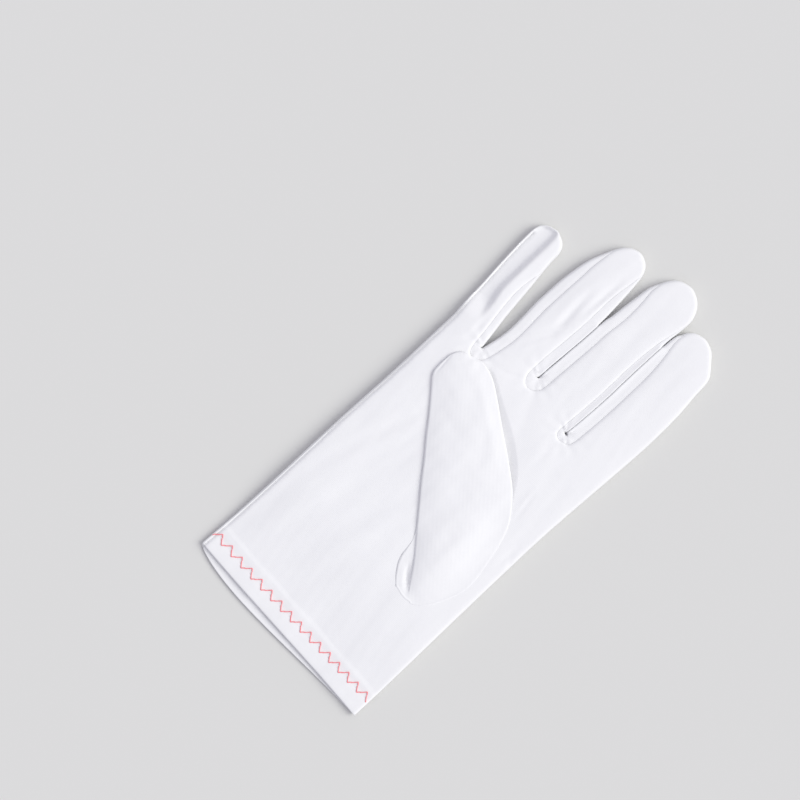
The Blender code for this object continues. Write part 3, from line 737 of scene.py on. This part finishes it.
# %% Cloth mesher
ROW_ROOM = 0.22 * MM  # how far the points of a row keep from the lines
FIELD_ROOM = 0.5  # and those of the field from the lines and the rows, as shares of the spacing
FIELD_ROOM_ROWS = 0.4
MERGED = 1e-5  # in millimetres
SMALLEST = 1e-12  # twice a triangle's area, in square metres


def hex_points(polygon, spacing):
    """An even triangular field of points over the polygon's box."""
    low, high = polygon.min(0), polygon.max(0)
    rows = np.arange(low[1], high[1], spacing * math.sqrt(3) / 2)
    field = []
    for i, y in enumerate(rows):
        x = np.arange(low[0] + (i % 2) * spacing / 2, high[0], spacing)
        field.append(np.stack((x, np.full(len(x), y)), axis=1))
    return np.concatenate(field)


def cut_plan(border, lines, spacing, extra=()):
    """Triangles that fill a closed border, with the lines as edges between them."""
    paths = [(np.concatenate((border, border[:1])), True)] + [(line, False) for line in lines]
    coords, edges = [], []
    for path, closed in paths:
        first = len(coords)
        coords += [tuple(p) for p in (path[:-1] if closed else path)]
        count = len(coords) - first
        edges += [(first + i, first + i + 1) for i in range(count - 1)]
        if closed:
            edges.append((first + count - 1, first))
    field = hex_points(border, spacing)
    field = field[inside(field, border)]
    rows = [beside(line, side * away) for line, away in extra for side in (-1, 1)]
    rows = [row[inside(row, border)] for row in rows]
    for number, points in enumerate(rows + [field]):
        room = ROW_ROOM if number < len(rows) else FIELD_ROOM * spacing
        keep = np.ones(len(points), bool)
        for path, _ in paths:
            keep &= path_distance(points, path)[0] > room
        if number == len(rows):
            for row in rows:
                if len(row) > 1:
                    keep &= path_distance(points, row)[0] > FIELD_ROOM_ROWS * spacing
        coords += [tuple(p) for p in points[keep]]
    scale = 1000.0  # the triangulation is sturdier in millimetres
    found = delaunay_2d_cdt([Vector((x * scale, y * scale)) for x, y in coords], edges, [], 0, MERGED)
    points = np.array([tuple(p) for p in found[0]]) / scale
    triangles = np.array([face for face in found[2] if len(face) == 3])
    a, b, c = (points[triangles[:, k]] for k in range(3))
    area = (b[:, 0] - a[:, 0]) * (c[:, 1] - a[:, 1]) - (b[:, 1] - a[:, 1]) * (c[:, 0] - a[:, 0])
    triangles[area < 0] = triangles[area < 0][:, ::-1]
    triangles = triangles[np.abs(area) > SMALLEST]
    return points, triangles


def centres(points, triangles):
    return points[triangles].mean(1)


def strip_outline(number, grow):
    """A strip's plan outline, a little smaller or larger than its seam."""
    seam = beside(SEAMS[number], -grow)
    return np.concatenate((seam, [(seam[-1] + seam[0]) / 2 + (0, 1 * MM)]))


def bake(obj):
    """Give the object the smooth mesh that its modifiers make."""
    graph = bpy.context.evaluated_depsgraph_get()
    obj.data = bpy.data.meshes.new_from_object(obj.evaluated_get(graph))
    obj.modifiers.clear()
    obj.data.shade_smooth()
    return obj


def cloth_object(name, vertices, faces, wall, hem_rows=None):
    mesh = bpy.data.meshes.new(name)
    placed = np.asarray(vertices, float) + (0, WRIST_Y, 0)
    mesh.from_pydata(placed.tolist(), [], [tuple(int(i) for i in face) for face in faces])
    mesh.update()
    obj = new_object(name, mesh)
    thick = obj.modifiers.new("wall", "SOLIDIFY")
    thick.thickness = wall
    thick.offset = -1
    thick.use_even_offset = False
    if hem_rows is not None:
        group = obj.vertex_groups.new(name="hem")
        for i in range(len(vertices)):
            group.add([i], float(hem_rows[i]), "REPLACE")
        thick.vertex_group = "hem"
    return bake(obj)


# %% Two sheets sewn into one skin
RIM_MATCH = 0.002 * MM  # points this close to the outline, or to each other on it, are the same
OVERHANG_REACH = 14 * MM


def back_overhang(plan):
    """How far the back's hem shows below the palm's."""
    share = np.clip(cuff_share(plan[:, 0]), 0, 1)
    return BACK_OVERHANG * np.sin(math.pi * share**0.6) * np.maximum(0, 1 - plan[:, 1] / OVERHANG_REACH)


def join_sheets(number):
    """One piece's vertices and faces, its palm's side and its back sewn together along the outline."""
    vertices, faces, rims, count = [], [], [], 0
    for (points, triangles, piece, heights), is_back in ((top, False), (back, True)):
        used, index = np.unique(triangles[piece == number], return_inverse=True)
        index = index.reshape(-1, 3) + count
        plan = points[used]
        rim = path_distance(plan, OUTLINE)[0] < RIM_MATCH
        z = np.where(rim, edge_level(plan), heights[used])
        y = plan[:, 1] - np.where(rim, 0, back_overhang(plan)) * is_back
        vertices.append(np.column_stack((plan[:, 0], y, z)))
        faces.append(index[:, ::-1] if is_back else index)
        rims.append(np.flatnonzero(rim) + count)
        count += len(used)
    vertices, faces = np.concatenate(vertices), np.concatenate(faces)
    gaps = np.linalg.norm(vertices[rims[1], None] - vertices[None, rims[0]], axis=2)
    same = gaps.min(1) < RIM_MATCH
    joined = np.arange(count)
    joined[rims[1][same]] = rims[0][gaps.argmin(1)[same]]
    used, index = np.unique(joined[faces], return_inverse=True)
    return vertices[used], index.reshape(-1, 3)


# %% Mesh the palm, the back and the strips
CUFF_EDGE = cuff_point(np.linspace(1, 0, 118))[1:-1]
BORDER = np.concatenate((OUTLINE, CUFF_EDGE))
CLOTH_WALL = 0.5 * MM
HEM_WALL = 0.9 * MM
TOP_SPACING = 1.15 * MM
BACK_SPACING = 2.2 * MM
HEM_PAST = 4 * MM  # the wall is thick up to this far past the hem's depth
# Rows of points beside the lines, where the cloth bends most, as distances from them.
SEAM_ROWS = (0.55 * MM, 1.05 * MM)
OUTLINE_ROWS = (0.3 * MM, 0.75 * MM, 1.3 * MM)
CUFF_ROWS = (0.25 * MM, 0.7 * MM)
SIDE_ROW = 0.4 * MM
TROUGH_ROW = 0.5 * MM
seam_pairs = [beside(seam, side * SEAM_GAP / 2) for seam in SEAMS for side in (-1, 1)]
strip_in = [strip_outline(number, -SEAM_GAP / 2) for number in range(len(GUSSETS))]
strip_out = [strip_outline(number, SEAM_GAP / 2) for number in range(len(GUSSETS))]


def sheet(spacing, height):
    """Points, triangles, the piece of each triangle and the points' heights."""
    extra = [(seam, away) for seam in SEAMS for away in SEAM_ROWS]
    extra += [(OUTLINE, away) for away in OUTLINE_ROWS]
    extra += [(CUFF_EDGE, away) for away in CUFF_ROWS]
    extra += [(SIDE_SEAM, SIDE_ROW), (TROUGH, TROUGH_ROW)]
    points, triangles = cut_plan(BORDER, seam_pairs + [SIDE_SEAM, TROUGH], spacing, extra)
    middle = centres(points, triangles)
    piece = np.where(inside(middle, BORDER), 0, -1)
    for number in range(len(GUSSETS)):
        piece[(piece == 0) & inside(middle, strip_out[number])] = -2 - number
        piece[(piece == -2 - number) & inside(middle, strip_in[number])] = 1 + number
    return points, triangles, piece, height(points)


top = sheet(TOP_SPACING, palm_height)
back = sheet(BACK_SPACING, back_height)
pieces = {}
names = ["palm_and_back_cloth"] + [gusset.name + "_cloth" for gusset in GUSSETS]
for number, name in enumerate(names):
    vertices, faces = join_sheets(number)
    up = above_cuff(vertices[:, :2])
    thick = np.where(up < HEM_DEPTH + HEM_PAST, 1.0, CLOTH_WALL / HEM_WALL)
    pieces[name] = cloth_object(name, vertices, faces, HEM_WALL, thick)
    print(name, "triangles:", sum(len(p.vertices) - 2 for p in pieces[name].data.polygons))

# %% [markdown]
# ## The thumb
#
# The thumb is a bag sewn round an oval hole in the palm and folded over to the other side. It follows a
# table of sections, from its heel to its tip: where its two sides lie and whether each is sewn down or a
# free fold. At the heel the fold leaves a small pocket, the hooked shadow in the photograph.

# %% Thumb sections and sizes
THUMB_LENGTH = 0.1138
THUMB_WIDTH = 0.0440
THUMB_TURN = math.radians(38.65)
THUMB_HEEL = np.array((0.0276, 0.0537))
THUMB_HEIGHT = 0.0028
THUMB_EDGE = 0.0005
THUMB_CROWN = 0.70  # the share of the height that comes slowly
FOLD_REACH = 0.9 * MM
SEAM_REACH = 20.0 * MM
SEAM_GROOVE = 0.15 * MM
SEAM_ROLL = 0.16 * MM  # the rolled edge of the seam round the heel
SEAM_GROOVE_WIDTH = 0.45 * MM
THUMB_LIFT = 0.15 * MM
BURIED = 0.10 * MM  # how far the under side goes into the palm's cloth where both are sewn
SEAM_STEP = 0.04 * MM  # how far the sewn-down cloth stands over the palm
Section = namedtuple("Section", "left_along left right_along right crown left_fold right_fold shelf")
THUMB_SECTIONS = np.array((
    (0.040, -0.070, -0.010, 0.090, 0.02, 0.0, 0.0, 0.27),
    (0.100, -0.100, -0.018, 0.170, 0.14, 0.0, 0.0, 0.27),
    (0.165, -0.088, -0.003, 0.340, 0.80, 0.0, 0.0, 0.22),
    (0.253, 0.010, 0.080, 0.647, 0.95, 0.6, 0.0, 0.033),
    (0.362, 0.004, 0.214, 0.826, 1.00, 1.0, 0.0, 0.00),
    (0.473, -0.028, 0.360, 0.950, 1.00, 1.0, 0.1, 0.00),
    (0.575, -0.049, 0.495, 0.934, 1.00, 1.0, 0.7, 0.00),
    (0.662, -0.074, 0.620, 0.830, 1.00, 1.0, 1.0, 0.00),
    (0.752, -0.092, 0.764, 0.679, 1.00, 1.0, 1.0, 0.00),
    (0.838, -0.117, 0.868, 0.573, 1.00, 1.0, 1.0, 0.00),
    (0.912, -0.138, 0.945, 0.480, 0.97, 1.0, 1.0, 0.00),
    (0.955, -0.088, 0.995, 0.360, 0.92, 1.0, 1.0, 0.00),
    (0.998, -0.006, 1.018, 0.190, 0.85, 1.0, 1.0, 0.00),
))
SHELF_LIMITS = (0.02, 0.6)
SHELF_FADE = 0.045
PACKING = 0.85  # how far the columns crowd towards the folds
MOUTH_START, MOUTH_END = 0.25, 0.50
MOUTH_POWER = 0.8
CLOSED = 0.999  # where the under side reaches across
THUMB_CREST = 0.0016  # how far the thumb's end bulges
CREST_START = 0.92
HEEL_CREST = 0.0009  # and how far its heel does
HEEL_END = 0.06
TIP_SHARE = 0.9
ROLL_AT = 0.9 * MM
ROLL_END, ROLL_FADE = 0.18, 0.12
UNDER_REACH = 2.4 * MM
THUMB_FOLDS = (
    (11.5, 109, 8.2, 88, 2.6, 0.18),
    (16, 100, 12, 82, 2.6, -0.15),
    (29, 110, 35.5, 88, 3.2, 0.33),
    (24, 100, 26, 80, 3.6, -0.18),
    (38.5, 100, 39.8, 84, 1.8, -0.18),
    (21, 92, 23.5, 70, 2.6, 0.18),
    (-27, 146.5, 2.5, 130.5, 2.2, -0.27),
    (-4, 131, 4, 121, 2.6, 0.21),
    (-28, 139, -12, 130, 4.0, 0.15),
    (-20, 124, -2, 108, 4.5, 0.12),
    (-41.6, 133.4, -43.0, 142.2, 0.5, 0.45),
)
print("thumb sections:", len(THUMB_SECTIONS))

# %% The thumb's grid
Grid = namedtuple("Grid", "share fold column left right width bulge from_tip left_fold cover")


def thumb_to_hand(along, across):
    u, v = along * THUMB_LENGTH, across * THUMB_WIDTH
    x = THUMB_HEEL[0] - u * math.sin(THUMB_TURN) + v * math.cos(THUMB_TURN)
    y = THUMB_HEEL[1] + u * math.cos(THUMB_TURN) + v * math.sin(THUMB_TURN)
    return np.stack((x, y), axis=-1)


def thumb_grid(rows, columns):
    """The values of each row, and columns that follow the fold at the heel."""
    share = np.linspace(0, 1, rows)
    places = np.linspace(0, 1, len(THUMB_SECTIONS))
    section = Section(*(spline(places, THUMB_SECTIONS[:, k], share) for k in range(8)))
    left = thumb_to_hand(section.left_along, section.left)[:, None]
    right = thumb_to_hand(section.right_along, section.right)[:, None]
    width = np.linalg.norm(right - left, axis=2)
    fold = Section(*(value[:, None] for value in section))
    fold_at = np.clip(fold.shelf * THUMB_WIDTH / width, *SHELF_LIMITS)
    few = max(3, columns // 8)
    even = np.linspace(0, 1, columns - few)
    packed = mix(even, 0.5 - 0.5 * np.cos(np.pi * even), PACKING)[None, :]
    low = np.linspace(0, 1, few + 1)[None, :-1] * fold_at
    column = np.concatenate((low, mix(fold_at, 1.0, packed)), axis=1)
    share = share[:, None]
    bulge = THUMB_CREST * np.clip((share - CREST_START) / (1 - CREST_START), 0, 1)
    bulge -= HEEL_CREST * np.clip(1 - share / HEEL_END, 0, 1)
    from_tip = (1 - share) * THUMB_LENGTH * TIP_SHARE
    left_fold = fold.left_fold * ease(1 - fold.shelf / SHELF_FADE)
    cover = ease((share - MOUTH_START) / (MOUTH_END - MOUTH_START)) ** MOUTH_POWER
    return Grid(share, fold, column, left, right, width, bulge[..., None], from_tip, left_fold, cover)


def thumb_plan(grid, column):
    """Plan points at shares across each row, with the bulge of the two ends."""
    across = column[..., None]
    lengthways = np.array((-math.sin(THUMB_TURN), math.cos(THUMB_TURN)))
    return mix(grid.left, grid.right, across) + grid.bulge * (1 - (2 * across - 1) ** 2) * lengthways


# %% The thumb's two sides


def heel_seam(grid, plan, right_in):
    """How far the seam round the heel sinks, less its rolled edge."""
    heel_in = path_distance(plan.reshape(-1, 2), plan[0])[0].reshape(right_in.shape)
    rim = np.minimum(right_in, heel_in)
    groove = SEAM_GROOVE * np.exp(-((rim / SEAM_GROOVE_WIDTH) ** 2)) * (1 - grid.fold.right_fold)
    roll = SEAM_ROLL * np.exp(-(((rim - ROLL_AT) / SEAM_GROOVE_WIDTH) ** 2))
    return groove - roll * (1 - ease((grid.share - ROLL_END) / ROLL_FADE))


def thumb_top(grid):
    """The upper side's plan points and heights."""
    fold, column = grid.fold, grid.column
    plan = thumb_plan(grid, column)
    flat = plan.reshape(-1, 2)
    palm = top_height(flat).reshape(column.shape)
    left_in = np.maximum(0, column * grid.width - fold.shelf * THUMB_WIDTH)
    right_in = (1 - column) * grid.width
    left, right, end = (pressed_rise(d, FOLD_REACH, THUMB_CROWN) for d in (left_in, right_in, grid.from_tip))
    rise = np.minimum(left * mix(ease(right_in / SEAM_REACH), right, fold.right_fold), end)
    left_edge = mix(SEAM_STEP, THUMB_EDGE, grid.left_fold)
    right_edge = mix(SEAM_STEP, THUMB_EDGE, fold.right_fold)
    edge = mix(left_edge, right_edge, column)
    crown = mix(edge, THUMB_HEIGHT, fold.crown)
    detail = (slow_waves(flat[:, ::-1]) - fold_depth(flat, THUMB_FOLDS)).reshape(column.shape)
    pocket = fold_depth(flat, POCKET).reshape(column.shape) * (1 - ease(left_in / POCKET_EDGE))
    base = palm - pocket - heel_seam(grid, plan, right_in)
    lift = THUMB_LIFT * np.maximum(grid.left_fold, rise)
    return plan, base + lift + edge + (crown - edge + detail) * rise


def thumb_under(grid):
    """The under side's plan points and heights. It lies on the palm and is open at the hole."""
    column = grid.column * grid.cover
    plan = thumb_plan(grid, column)
    palm = top_height(plan.reshape(-1, 2)).reshape(column.shape)
    left_up = grid.left_fold * THUMB_EDGE * (1 - edge_rise(column * grid.width, UNDER_REACH))
    right_in = (1 - column) * grid.width
    right_up = grid.fold.right_fold * THUMB_EDGE * (1 - edge_rise(right_in, UNDER_REACH))
    end_up = THUMB_EDGE * (1 - edge_rise(grid.from_tip, UNDER_REACH))
    lift = np.maximum(np.maximum(left_up, np.where(grid.cover > CLOSED, right_up, 0)), end_up)
    return plan, palm + mix(-BURIED, THUMB_LIFT, grid.left_fold) + lift


# %% Make the thumb


def make_thumb(rows, columns):
    """Both sides as one skin, joined at the folds and at the tip."""
    grid = thumb_grid(rows, columns)
    top_plan, top_z = thumb_top(grid)
    under_plan, under_z = thumb_under(grid)
    vertices = [(x, y, z) for (x, y), z in zip(top_plan.reshape(-1, 2), top_z.ravel())]
    tops = np.arange(rows * columns).reshape(rows, columns)
    backs = tops.copy()
    first = int(math.ceil(MOUTH_START * (rows - 1)))
    for row in range(rows):
        for col in range(columns):
            side = col == 0 or row == rows - 1 or (col == columns - 1 and grid.cover[row, 0] > CLOSED)
            if side or row <= first:
                backs[row, col] = tops[row, col if side else 0]
                continue
            backs[row, col] = len(vertices)
            vertices.append((*under_plan[row, col], under_z[row, col]))
    faces = []
    for row in range(rows - 1):
        for col in range(columns - 1):
            keys = ((row, col), (row, col + 1), (row + 1, col + 1), (row + 1, col))
            faces.append([tops[key] for key in keys])
            if row >= first:
                ring = [backs[key] for key in reversed(keys)]
                faces.append([v for i, v in enumerate(ring) if v != ring[i - 1]])
    return cloth_object("thumb_cloth", vertices, faces, CLOTH_WALL)


pieces["thumb_cloth"] = make_thumb(*(((170, 56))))
print("thumb faces:", len(pieces["thumb_cloth"].data.polygons))

# %% [markdown]
# ## The red zigzag
#
# The hem is held by a multi-step zigzag: each leg of it is three short stitches. A stitch is one mesh edge
# laid on the cloth, and a small Geometry Nodes tree turns every edge into a thread that dips into the cloth
# at its two ends.

# %% Node helpers and the thread
THREAD_COLOUR = (1.0, 0.27, 0.29)
THREAD_SHADE = 0.86
THREAD_SIDES = 7


def math_node(nodes, links, operation, a, b=0.0):
    node = nodes.new("ShaderNodeMath")
    node.operation = operation
    for i, value in enumerate((a, b)):
        if isinstance(value, (int, float)):
            node.inputs[i].default_value = value
        else:
            links.new(value, node.inputs[i])
    return node.outputs[0]


def noise_node(nodes, links, place, scale, detail):
    node = nodes.new("ShaderNodeTexNoise")
    set_inputs(node, {"Scale": scale, "Detail": detail})
    links.new(place, node.inputs["Vector"])
    return node.outputs["Fac"]


def colour_ramp(nodes, links, value, low, high, shader):
    """The shader's colour runs from low to high with a value."""
    ramp = nodes.new("ShaderNodeValToRGB")
    for element, colour in zip(ramp.color_ramp.elements, (low, high)):
        element.color = (*colour, 1)
    links.new(value, ramp.inputs["Fac"])
    links.new(ramp.outputs["Color"], shader.inputs["Base Color"])


def thread_material(name, colour):
    material, nodes, links, shader = new_material(name, {"Roughness": 0.55, "Sheen Weight": 0.3})
    place = nodes.new("ShaderNodeTexCoord").outputs["Object"]
    noise = noise_node(nodes, links, place, 900.0, 2.0)
    colour_ramp(nodes, links, noise, [THREAD_SHADE * c for c in colour], colour, shader)
    return material


red_thread = thread_material("red_thread", THREAD_COLOUR)
print("thread material:", red_thread.name)

# %% The stitch tree
STITCH_INPUTS = {
    "Geometry": "Geometry",
    "Radius": "Float",
    "Arch": "Float",
    "Steps": "Int",
    "Material": "Material",
}


def stitch_tree():
    """Every edge of the mesh becomes one arched thread."""
    tree = bpy.data.node_groups.new("stitches", "GeometryNodeTree")
    for name, kind in STITCH_INPUTS.items():
        tree.interface.new_socket(name, in_out="INPUT", socket_type="NodeSocket" + kind)
    tree.interface.new_socket("Geometry", in_out="OUTPUT", socket_type="NodeSocketGeometry")
    nodes, links = tree.nodes, tree.links

    def step(kind, inputs):
        """A node with its inputs linked to the outputs of others."""
        node = nodes.new("GeometryNode" + kind)
        for name, output in inputs.items():
            links.new(output, node.inputs[name])
        return node

    source, result = nodes.new("NodeGroupInput").outputs, nodes.new("NodeGroupOutput")
    curves = step("MeshToCurve", {"Mesh": source["Geometry"]})
    fine = step("ResampleCurve", {"Curve": curves.outputs["Curve"], "Count": source["Steps"]})
    place = step("SplineParameter", {})
    turn = math_node(nodes, links, "MULTIPLY", place.outputs["Factor"], math.pi)
    wave = math_node(nodes, links, "SINE", turn)
    high = math_node(nodes, links, "MULTIPLY", wave, source["Arch"])
    normal = step("InputNamedAttribute", {})
    normal.data_type = "FLOAT_VECTOR"
    normal.inputs["Name"].default_value = "out"
    offset = nodes.new("ShaderNodeVectorMath")
    offset.operation = "SCALE"
    links.new(normal.outputs["Attribute"], offset.inputs[0])
    links.new(high, offset.inputs["Scale"])
    raised = step("SetPosition", {"Geometry": fine.outputs["Curve"], "Offset": offset.outputs[0]})
    ring = step("CurvePrimitiveCircle", {"Radius": source["Radius"]})
    ring.inputs["Resolution"].default_value = THREAD_SIDES
    curve, profile = raised.outputs["Geometry"], ring.outputs["Curve"]
    tube = step("CurveToMesh", {"Curve": curve, "Profile Curve": profile})
    tube.inputs["Fill Caps"].default_value = True
    real = step("RealizeInstances", {"Geometry": tube.outputs["Mesh"]})
    paint = step("SetMaterial", {"Geometry": real.outputs["Geometry"], "Material": source["Material"]})
    links.new(paint.outputs["Geometry"], result.inputs["Geometry"])
    return tree


STITCHES = stitch_tree()


def stitch_object(name, starts, ends, outs, radius, arch, steps, material):
    """Threads from starts to ends, arched towards outs, all in wrist-edge coordinates."""
    count = len(starts)
    points = np.empty((2 * count, 3))
    points[0::2], points[1::2] = starts, ends
    points += (0, WRIST_Y, 0)
    mesh = bpy.data.meshes.new(name)
    mesh.from_pydata(points.tolist(), [(2 * i, 2 * i + 1) for i in range(count)], [])
    attribute = mesh.attributes.new("out", "FLOAT_VECTOR", "POINT")
    attribute.data.foreach_set("vector", np.repeat(outs, 2, axis=0).astype(np.float32).ravel())
    obj = new_object(name, mesh)
    modifier = obj.modifiers.new("stitches", "NODES")
    modifier.node_group = STITCHES
    sockets = {item.name: item.identifier for item in STITCHES.interface.items_tree if item.in_out == "INPUT"}
    for key, value in (("Radius", radius), ("Arch", arch), ("Steps", steps), ("Material", material)):
        modifier[sockets[key]] = value
    print(name, "stitches:", count, "faces:", len(bake(obj).data.polygons))
    return obj


# %% The zigzag round the hem
ZIGZAG_PITCH = 6.54 * MM
ZIGZAG_TALL = 3.8 * MM
ZIGZAG_RADIUS = 0.23 * MM
ZIGZAG_LEGS = 32
ZIGZAG_SHIFT = -0.9 * MM
ZIGZAG_DRIFT = 1.9 * MM  # the stitches are longer at the left end
ZIGZAG_INSET = 0.3 * MM
ZIGZAG_KINK = 0.16 * MM
ZIGZAG_ARCH = 0.16 * MM
THREAD_STEPS = 7
THREAD_LIFT = 0.05 * MM
LEG_STITCHES = 3


def zigzag_plan():
    """Corner points of the zigzag along the hem, with its stitches, in plan."""
    first = CUFF_OFFSET + ZIGZAG_SHIFT - ZIGZAG_LEGS * ZIGZAG_PITCH / 4
    left_end = CUFF_OFFSET - CUFF_WIDTH / 2 + ZIGZAG_INSET
    ends = []
    for leg in range(ZIGZAG_LEGS):
        for step in range(LEG_STITCHES):
            a, b = step / LEG_STITCHES, (step + 1) / LEG_STITCHES
            pair = []
            for share in (a, b):
                place = (leg + share) / ZIGZAG_LEGS
                drift = ZIGZAG_DRIFT * math.sin(math.pi * place)
                x = max(left_end, first + (leg + share) * ZIGZAG_PITCH / 2 + drift)
                tall = (share - 0.5) * ZIGZAG_TALL * (1 if leg % 2 == 0 else -1)
                kink = ZIGZAG_KINK * (1 if 0 < share < 1 else 0) * (1 if step == 0 and share == b else -1)
                across = cuff_share(x)
                up = zigzag_line(across) + tall + kink
                pair.append((x, up + CUFF_SLANT * ease(across)))
            ends.append(pair)
    return np.array(ends)


def on_top(plan):
    return np.column_stack((plan, palm_height(plan) + THREAD_LIFT))


def on_back(plan):
    return np.column_stack((plan, back_height(plan) - THREAD_LIFT))


def on_both(starts, ends):
    """Stitches laid on the palm's side and the same ones on the back."""
    up = np.tile((0.0, 0.0, 1.0), (len(starts), 1))
    both = [np.concatenate((on_top(plan), on_back(plan))) for plan in (starts, ends)]
    return (*both, np.concatenate((up, -up)))


zigzag = zigzag_plan()
laid = on_both(zigzag[:, 0], zigzag[:, 1])
pieces["hem_zigzag"] = stitch_object(
    "hem_zigzag", *laid, ZIGZAG_RADIUS, ZIGZAG_ARCH, THREAD_STEPS, red_thread
)

# %% [markdown]
# ## The cloth's material
#
# The cloth is a fine plain weave. Two crossed waves make its threads as bump, broken up by noise so that no
# two threads are alike. The colour is a cool white that barely changes from place to place, with a soft
# sheen from the fibre ends. Everything reads Object coordinates, so the weave lies still in every view.

# %% White cloth
CLOTH_SHADER = {
    "Roughness": 0.88,
    "Sheen Weight": 0.25,
    "Sheen Roughness": 0.5,
    "Specular IOR Level": 0.2,
}
THREAD_WAVE = {"Scale": 520.0, "Distortion": 0.7, "Detail": 1.0, "Detail Scale": 0.6}
CLOTH_DARK = (0.80, 0.80, 0.815)
CLOTH_LIGHT = (0.88, 0.88, 0.885)
SLUB_SHARE = 0.9
CLOUD_SHARE = 0.6
WEAVE_SHARE = 0.25


def white_cloth(name, turn):
    """A plain weave, turned in plan by an angle."""
    material, nodes, links, shader = new_material(name, CLOTH_SHADER)
    coords = nodes.new("ShaderNodeTexCoord")
    mapping = nodes.new("ShaderNodeMapping")
    mapping.inputs["Rotation"].default_value[2] = turn
    links.new(coords.outputs["Object"], mapping.inputs["Vector"])
    waves = []
    for direction in ("X", "Y"):
        wave = nodes.new("ShaderNodeTexWave")
        wave.wave_type = "BANDS"
        wave.bands_direction = direction
        set_inputs(wave, THREAD_WAVE)
        links.new(mapping.outputs["Vector"], wave.inputs["Vector"])
        waves.append(wave.outputs["Fac"])
    threads = math_node(nodes, links, "MULTIPLY", *waves)
    slub = noise_node(nodes, links, mapping.outputs["Vector"], 260.0, 4.0)
    slubs = math_node(nodes, links, "MULTIPLY", slub, SLUB_SHARE)
    weave = math_node(nodes, links, "ADD", threads, slubs)
    bump = nodes.new("ShaderNodeBump")
    set_inputs(bump, {"Strength": 0.35, "Distance": 0.14 * MM})
    links.new(weave, bump.inputs["Height"])
    links.new(bump.outputs["Normal"], shader.inputs["Normal"])
    cloud = noise_node(nodes, links, coords.outputs["Object"], 45.0, 3.0)
    clouds = math_node(nodes, links, "MULTIPLY", cloud, CLOUD_SHARE)
    shade = math_node(nodes, links, "MULTIPLY", weave, WEAVE_SHARE)
    colour_ramp(nodes, links, math_node(nodes, links, "ADD", clouds, shade), CLOTH_DARK, CLOTH_LIGHT, shader)
    return material


hand_cloth = white_cloth("white_weave", 0.0)
thumb_weave = white_cloth("white_weave_thumb", THUMB_TURN)
for name, piece in pieces.items():
    if name.endswith("_cloth"):
        piece.data.materials.clear()
        piece.data.materials.append(thumb_weave if name == "thumb_cloth" else hand_cloth)
        print(name, "wears", piece.data.materials[0].name)

# %% [markdown]
# ## Hand the pieces to the frame
#
# Every piece rides on the one body. Each cloth piece replaces the plain solid of the same part, which is
# hidden, and the area of cloth that it was cut from is printed.

# %% Attach and finish
Cut = namedtuple("Cut", "width length")


def plan_area(name):
    """The area that a piece covers on its two sides, from the cut of the glove."""
    number = names.index(name)
    total = 0.0
    for points, triangles, piece, _ in (top, back):
        a, b, c = (points[triangles[piece == number]][:, k] for k in range(3))
        total += np.abs((b - a)[:, 0] * (c - a)[:, 1] - (b - a)[:, 1] * (c - a)[:, 0]).sum() / 2
    return total


for name in names:
    print(name, "covers cm2:", round(1e4 * plan_area(name), 1))
for name, piece in pieces.items():
    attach(piece, "root")
    if name.endswith("_cloth"):
        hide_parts(name[: -len("_cloth")])
